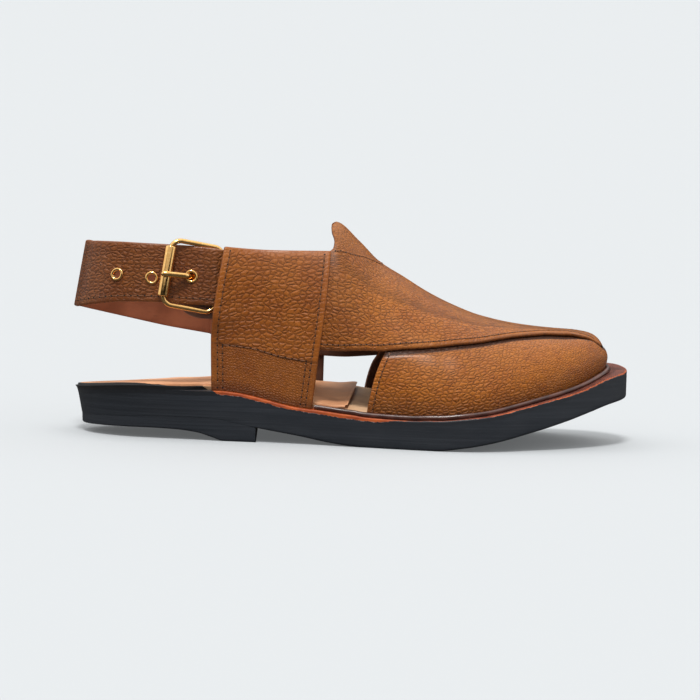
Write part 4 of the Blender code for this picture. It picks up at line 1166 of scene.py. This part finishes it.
level = EYELETS["level"][-1]
hole = EYELETS["place"][-1]
under = outer_face(hole, level) - STRAP_WALL - CLEARANCE - PRONG_RADIUS
over = outer_face(hole, level) + EYELET_CROWN
crest = outer_face(ROLLER_PLACE, FRAME_LEVELS[0]) + BUCKLE_EASE + 2 * ROLLER_RADIUS + PRONG_RADIUS
lean = PRONG_RADIUS / LENGTH
stations = (
    (HINGE_PLACE - 2.8 * lean, under),
    (hole + 2.0 * lean, under),
    (hole + 0.6 * lean, under + 1.1 * PRONG_RADIUS),
    (hole - 0.1 * lean, over - 1.2 * PRONG_RADIUS),
    (hole - 1.2 * lean, over + 0.9 * PRONG_RADIUS),
    (hole - 4.5 * lean, over + 2.4 * PRONG_RADIUS),
    (ROLLER_PLACE, crest),
    (ROLLER_PLACE - PRONG_OVERHANG / LENGTH, crest - 0.4 * PRONG_RADIUS),
)
path = []
for share, away in stations:
    way = way_at(share)
    point = strap_grid(np.array([[way]]), np.array([[level]]))[0, 0]
    path.append(point + strap_frame(share, level)[3] * away)
path = np.array(path)
knots = np.concatenate([[0], np.cumsum(np.linalg.norm(np.diff(path, axis=0), axis=1))])
steps = np.linspace(0, knots[-1], 70)
path = np.stack([np.interp(steps, knots, path[:, k]) for k in range(3)], -1)
for _ in range(14):
    path[1:-1] = (path[:-2] + 2 * path[1:-1] + path[2:]) / 4
tip = ease(0, 1, (knots[-1] - steps) / PRONG_RADIUS) ** 0.5
prong = tube("buckle_prong_bar", path, PRONG_RADIUS * (0.35 + 0.65 * tip), gold, sides=18)
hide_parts("buckle_prong")


# Stitching: rows of waxed thread sunk into the leather, with a needle hole at each end of each stitch, drawn as a
# dark button: painted shade for the hole's inside.
THREAD_RADIUS = 0.00032
HOLE_RADIUS = 0.00048
HOLE_SUNK = 0.0002
HOLE_SIDES = 12
INSTEP_STITCH = {"setback": 0.0021, "pitch": 0.0030}
TOE_STITCH = {"setback": 0.0021, "pitch": 0.0029}
BAND_STITCH = {"setback": 0.0024, "second": 0.0052, "pitch": 0.0037}
STRAP_STITCH = {"setback": 0.0022, "pitch": 0.0037}


def at_index(grid, row, column):
    """Reads a grid between its points, at fractional rows and columns."""
    row = np.clip(row, 0, grid.shape[0] - 1.001)
    column = np.clip(column, 0, grid.shape[1] - 1.001)
    i, j = row.astype(int), column.astype(int)
    u, v = (row - i)[:, None], (column - j)[:, None]
    low = grid[i, j] * (1 - v) + grid[i, j + 1] * v
    high = grid[i + 1, j] * (1 - v) + grid[i + 1, j + 1] * v
    return low * (1 - u) + high * u


def index_at(lines, values):
    """For each line of growing numbers, the fractional index at which it reaches its value."""
    values = np.broadcast_to(values, (len(lines),))
    return np.array([np.interp(value, line, np.arange(len(line))) for value, line in zip(values, lines)])


def beside_edge(lengths, setback, far=False):
    """The fractional index, on each line of lengths from an edge, that lies a setback in from that edge."""
    inset = index_at(lengths[:, ::-1] if far else lengths, setback)
    return lengths.shape[1] - 1 - inset if far else inset


def needle_places(face, out, row, column, pitch):
    """Points at an even pitch along a line of fractional rows and columns, with the directions out there."""
    dense = np.linspace(0, len(row) - 1, 12 * len(row))
    row = np.interp(dense, np.arange(len(row)), row)
    column = np.interp(dense, np.arange(len(column)), column)
    points = at_index(face, row, column)
    length = np.concatenate([[0], np.cumsum(np.linalg.norm(np.diff(points, axis=0), axis=1))])
    count = max(2, round(length[-1] / pitch))
    places = np.linspace(0, length[-1], count + 1)
    row, column = np.interp(places, length, row), np.interp(places, length, column)
    return at_index(face, row, column), unit(at_index(out, row, column))


def thread_mesh(name, rows, sides=8, rings=7):
    """The stitches between the needle places of each row.

    A stitch is a bar along its run with radius r sin(t)^0.6 and its middle raised by 0.5 r sin(t) - 0.25 r,
    with t from 0 to pi.
    """
    starts = np.concatenate([points[:-1] for points, _ in rows])
    ends = np.concatenate([points[1:] for points, _ in rows])
    outs = np.concatenate([unit(out[:-1] + out[1:]) for _, out in rows])
    run = unit(ends - starts)
    side = unit(np.cross(outs, run))
    t = np.linspace(0, math.pi, rings)
    angle = np.linspace(0, 2 * math.pi, sides, endpoint=False)
    gap = HOLE_RADIUS * 0.55
    span = np.linalg.norm(ends - starts, axis=1) - 2 * gap
    forward = gap + span[:, None] * (1 - np.cos(t))[None, :] / 2
    width = THREAD_RADIUS * np.sin(t).clip(0.02, 1) ** 0.6
    lift = -0.25 * THREAD_RADIUS + 0.5 * THREAD_RADIUS * np.sin(t)
    centre = starts[:, None] + run[:, None] * forward[..., None] + outs[:, None] * lift[None, :, None]
    cos, sin = np.cos(angle)[None, None, :, None], np.sin(angle)[None, None, :, None]
    around = cos * side[:, None, None] + sin * outs[:, None, None]
    points = centre[:, :, None] + around * width[None, :, None, None]
    faces = quads(rings, sides)[None] + rings * sides * np.arange(len(starts))[:, None, None]
    return put_mesh(name + "_thread", points.reshape(-1, 3), faces.reshape(-1, 4), [tan_thread], sharp=80)


def holes_mesh(name, rows):
    """The needle holes: a shallow button at each needle place, painted near-black as the shade inside the hole, a
    ring of points at each of three heights.
    """
    spots = np.concatenate([points for points, _ in rows])[:, None]
    outs = np.concatenate([out for _, out in rows])
    first = unit(np.cross(outs, (0.3, 0.2, 0.93)))
    second = np.cross(outs, first)
    disc = np.linspace(0, 2 * math.pi, HOLE_SIDES, endpoint=False)
    ringed = np.cos(disc)[None, :, None] * first[:, None] + np.sin(disc)[None, :, None] * second[:, None]
    outs = outs[:, None]
    shape = ((1, -HOLE_SUNK), (1, 0.00002), (0.7, 0.00006), (0, -HOLE_SUNK), (0, 0.00006))
    layers = [spots + ringed * HOLE_RADIUS * wide + outs * high for wide, high in shape[:3]]
    middles = [spots + outs * high for _, high in shape[3:]]
    points = np.concatenate([*layers, *middles], axis=1)
    k = np.arange(HOLE_SIDES)
    after = (k + 1) % HOLE_SIDES
    bottom = np.stack([after, k, np.full(HOLE_SIDES, 3 * HOLE_SIDES)], -1)
    top = np.stack([k + 2 * HOLE_SIDES, after + 2 * HOLE_SIDES, np.full(HOLE_SIDES, 3 * HOLE_SIDES + 1)], -1)
    shift = points.shape[1] * np.arange(len(points))[:, None, None]
    walls = (quads(3, HOLE_SIDES)[None] + shift).reshape(-1, 4).tolist()
    faces = walls + (np.concatenate([bottom, top])[None] + shift).reshape(-1, 3).tolist()
    mesh = bpy.data.meshes.new(name + "_holes")
    mesh.from_pydata(points.reshape(-1, 3).tolist(), [], faces)
    mesh.materials.append(hole_shade)
    return set_out(name + "_holes", mesh)


def sew(name, rows):
    """Puts the thread and the needle holes of the given rows of needle places on a piece of the upper."""
    thread_mesh(name, rows)
    holes_mesh(name, rows)


def thread_finish(name, dark, light):
    """Waxed thread: fine lines of its strands."""
    made = Finish(name, Roughness=0.5)
    strand = made.noise(made.place((2600, 2600, 2600)), 1.0, 2)
    return made.finish(made.blend(made.ramp(strand, 0.3, 0.7), dark, light), None, strand, 0.00008)


# Needle holes: painted shade, near-black with faint specks, in place of the dark inside of each hole.
hole_finish = Finish("needle_hole_shade", Roughness=0.85)
speck = hole_finish.noise(hole_finish.place(), 3000, 2)
hole_shade = hole_finish.finish(hole_finish.blend(speck, (0.006, 0.003, 0.002), (0.018, 0.008, 0.004)))
tan_thread = thread_finish("tan_thread", (0.10, 0.030, 0.006), (0.21, 0.072, 0.016))

rows = []
_, _, from_foot, from_top = edge_lengths(vamp_face)
row = np.arange(len(vamp_face), dtype=float)
for lengths, far in ((from_foot, False), (from_top, True)):
    column = beside_edge(lengths, INSTEP_STITCH["setback"], far)
    rows.append(needle_places(vamp_face, vamp_out, row[4:172], column[4:172], INSTEP_STITCH["pitch"]))
column = np.arange(vamp_face.shape[1], dtype=float)
seam_row = index_at(vamp_face[..., 0].T, seam_x[0])
high = rise[0] > COLLAR_SEAM["side"][0]
rows.append(needle_places(vamp_face, vamp_out, seam_row[high], column[high], INSTEP_STITCH["pitch"]))
sew("instep", rows)

rows = []
first_row, last_row, _, _ = edge_lengths(toe_face)
column = np.arange(toe_face.shape[1], dtype=float)
for lengths, far in ((first_row.T, False), (last_row.T, True)):
    inset = beside_edge(lengths, TOE_STITCH["setback"], far)
    rows.append(needle_places(toe_face, toe_out, inset[1:60], column[1:60], TOE_STITCH["pitch"]))
sew("toe_piece", rows)

for name, (band_face, band_out) in band_faces.items():
    rows = []
    _, _, from_rear, from_front = edge_lengths(band_face)
    row = np.arange(len(band_face), dtype=float)
    columns_count = band_face.shape[1]
    seam_z = smooth(CROSS_SEAM, "z", np.linspace(0, 1, columns_count), key="across")
    seam_row = index_at(band_face[..., 2].T, seam_z)
    for distance, highest in ((BAND_STITCH["setback"], len(row) - 2), (BAND_STITCH["second"], None)):
        for lengths, far in ((from_rear, False), (from_front, True)):
            inset = beside_edge(lengths, distance, far)
            stop = highest or int(seam_row[-6 if far else 6])
            rows.append(needle_places(band_face, band_out, row[3:stop], inset[3:stop], BAND_STITCH["pitch"]))
    column = np.arange(columns_count, dtype=float)
    keep = slice(9, columns_count - 9)
    rows.append(needle_places(band_face, band_out, seam_row[keep], column[keep], BAND_STITCH["pitch"]))
    sew(name, rows)

_, _, from_foot, _ = edge_lengths(strap_face)
row = np.arange(len(strap_face), dtype=float)
inset = beside_edge(from_foot, STRAP_STITCH["setback"])
sew("strap", [needle_places(strap_face, strap_normal, row, inset, STRAP_STITCH["pitch"])])

# Floor: a plain pale surface. What the camera sees of it is paler than what it throws back at the shoe,
# and glows faintly, so that its shadows stay soft.
FLOOR_SIZE = 40.0
FLOOR_GLOW = 0.11
floor_mesh = bpy.data.meshes.new("floor")
corners = [(FLOOR_SIZE / 2 * x, FLOOR_SIZE / 2 * y, 0) for x, y in ((-1, -1), (1, -1), (1, 1), (-1, 1))]
floor_mesh.from_pydata(corners, [], [(0, 1, 2, 3)])
floor_finish = Finish("floor_paper", Roughness=0.8)
seen = floor_finish.node("LightPath").outputs["Is Camera Ray"]
mirrored = floor_finish.node("LightPath").outputs["Is Glossy Ray"]
unseen = floor_finish.blend(mirrored, (0.36, 0.36, 0.36), (0.03, 0.03, 0.03))
floor_finish.finish(floor_finish.blend(seen, unseen, (0.405, 0.429, 0.452)))
floor_finish.shader.inputs["Emission Color"].default_value = (0.94, 0.98, 1.0, 1)
glow = floor_finish.maths("MULTIPLY", seen, FLOOR_GLOW)
floor_finish.feed(floor_finish.shader.inputs["Emission Strength"], glow)
floor_mesh.materials.append(floor_finish.material)
floor = bpy.data.objects.new("floor", floor_mesh)
bpy.context.scene.collection.objects.link(floor)

# Light: a soft dome, brighter above and behind, with a panel at each end, and two wide lamps above and in
# front, as in a product studio.
world = bpy.data.worlds.new("studio")
world.use_nodes = True
bpy.context.scene.world = world
nodes, links = world.node_tree.nodes, world.node_tree.links
background = nodes["Background"]
where = nodes.new("ShaderNodeTexCoord")
split = nodes.new("ShaderNodeSeparateXYZ")
links.new(where.outputs["Generated"], split.inputs[0])


def world_ramp(socket, low, high, at_low, at_high):
    """Goes smoothly from at_low to at_high as one part of the direction goes from low to high."""
    made = nodes.new("ShaderNodeMapRange")
    made.interpolation_type = "SMOOTHSTEP"
    for key, number in (("From Min", low), ("From Max", high), ("To Min", at_low), ("To Max", at_high)):
        made.inputs[key].default_value = number
    links.new(socket, made.inputs["Value"])
    return made.outputs["Result"]


rising = world_ramp(split.outputs["Z"], 0.08, 0.85, 0.05, 1.25)
from_behind = world_ramp(split.outputs["Y"], -0.6, 0.5, 0.22, 1.0)
product = nodes.new("ShaderNodeMath")
product.operation = "MULTIPLY"
links.new(rising, product.inputs[0])
links.new(from_behind, product.inputs[1])
sideways = nodes.new("ShaderNodeMath")
sideways.operation = "ABSOLUTE"
links.new(split.outputs["X"], sideways.inputs[0])
panels = world_ramp(sideways.outputs[0], 0.74, 0.84, 0.0, 0.9)
total = nodes.new("ShaderNodeMath")
links.new(product.outputs[0], total.inputs[0])
links.new(panels, total.inputs[1])
background.inputs["Color"].default_value = (1.0, 0.985, 0.96, 1)
links.new(total.outputs[0], background.inputs["Strength"])


def sun(name, direction, strength, angle):
    """A distant, slightly warm lamp that shines along a direction, with soft shadows."""
    light = bpy.data.lights.new(name, "SUN")
    light.energy, light.angle, light.color = strength, math.radians(angle), (1.0, 0.98, 0.95)
    made = bpy.data.objects.new(name, light)
    made.rotation_euler = Vector(direction).to_track_quat("-Z", "Y").to_euler()
    bpy.context.scene.collection.objects.link(made)


sun("key", (0.05, 0.48, -1.0), 2.4, 12)
sun("wide", (0.0, 0.42, -1.0), 1.2, 110)

# Camera: a long lens, a little above the floor and rolled slightly. The shoe's origin falls on a known pixel.
CAMERA_DISTANCE = 3.5
CAMERA_ELEVATION = math.radians(6.5)
CAMERA_ROLL = math.radians(1.75)
SENSOR_WIDTH = 36.0
FOCAL_PIXELS = 6513.0
PHOTO_PIXELS = 700.0
ORIGIN_PIXEL = (350.5, 436.5)
back = Vector((0, -math.cos(CAMERA_ELEVATION), math.sin(CAMERA_ELEVATION)))
level_right = Vector((1, 0, 0))
level_up = back.cross(level_right)
right = level_right * math.cos(CAMERA_ROLL) + level_up * math.sin(CAMERA_ROLL)
up = level_up * math.cos(CAMERA_ROLL) - level_right * math.sin(CAMERA_ROLL)
scale = CAMERA_DISTANCE / FOCAL_PIXELS
across, down = ((pixel - PHOTO_PIXELS / 2) * scale for pixel in ORIGIN_PIXEL)
target = -right * across + up * down
camera_data = bpy.data.cameras.new("camera")
camera_data.sensor_width = SENSOR_WIDTH
camera_data.lens = SENSOR_WIDTH * FOCAL_PIXELS / PHOTO_PIXELS
camera_data.clip_end = 100
camera = bpy.data.objects.new("camera", camera_data)
turned = Matrix((right, up, back)).transposed().to_4x4()
camera.matrix_world = Matrix.Translation(target + back * CAMERA_DISTANCE) @ turned
bpy.context.scene.collection.objects.link(camera)
bpy.context.scene.camera = camera
bpy.context.scene.view_settings.view_transform = "Standard"
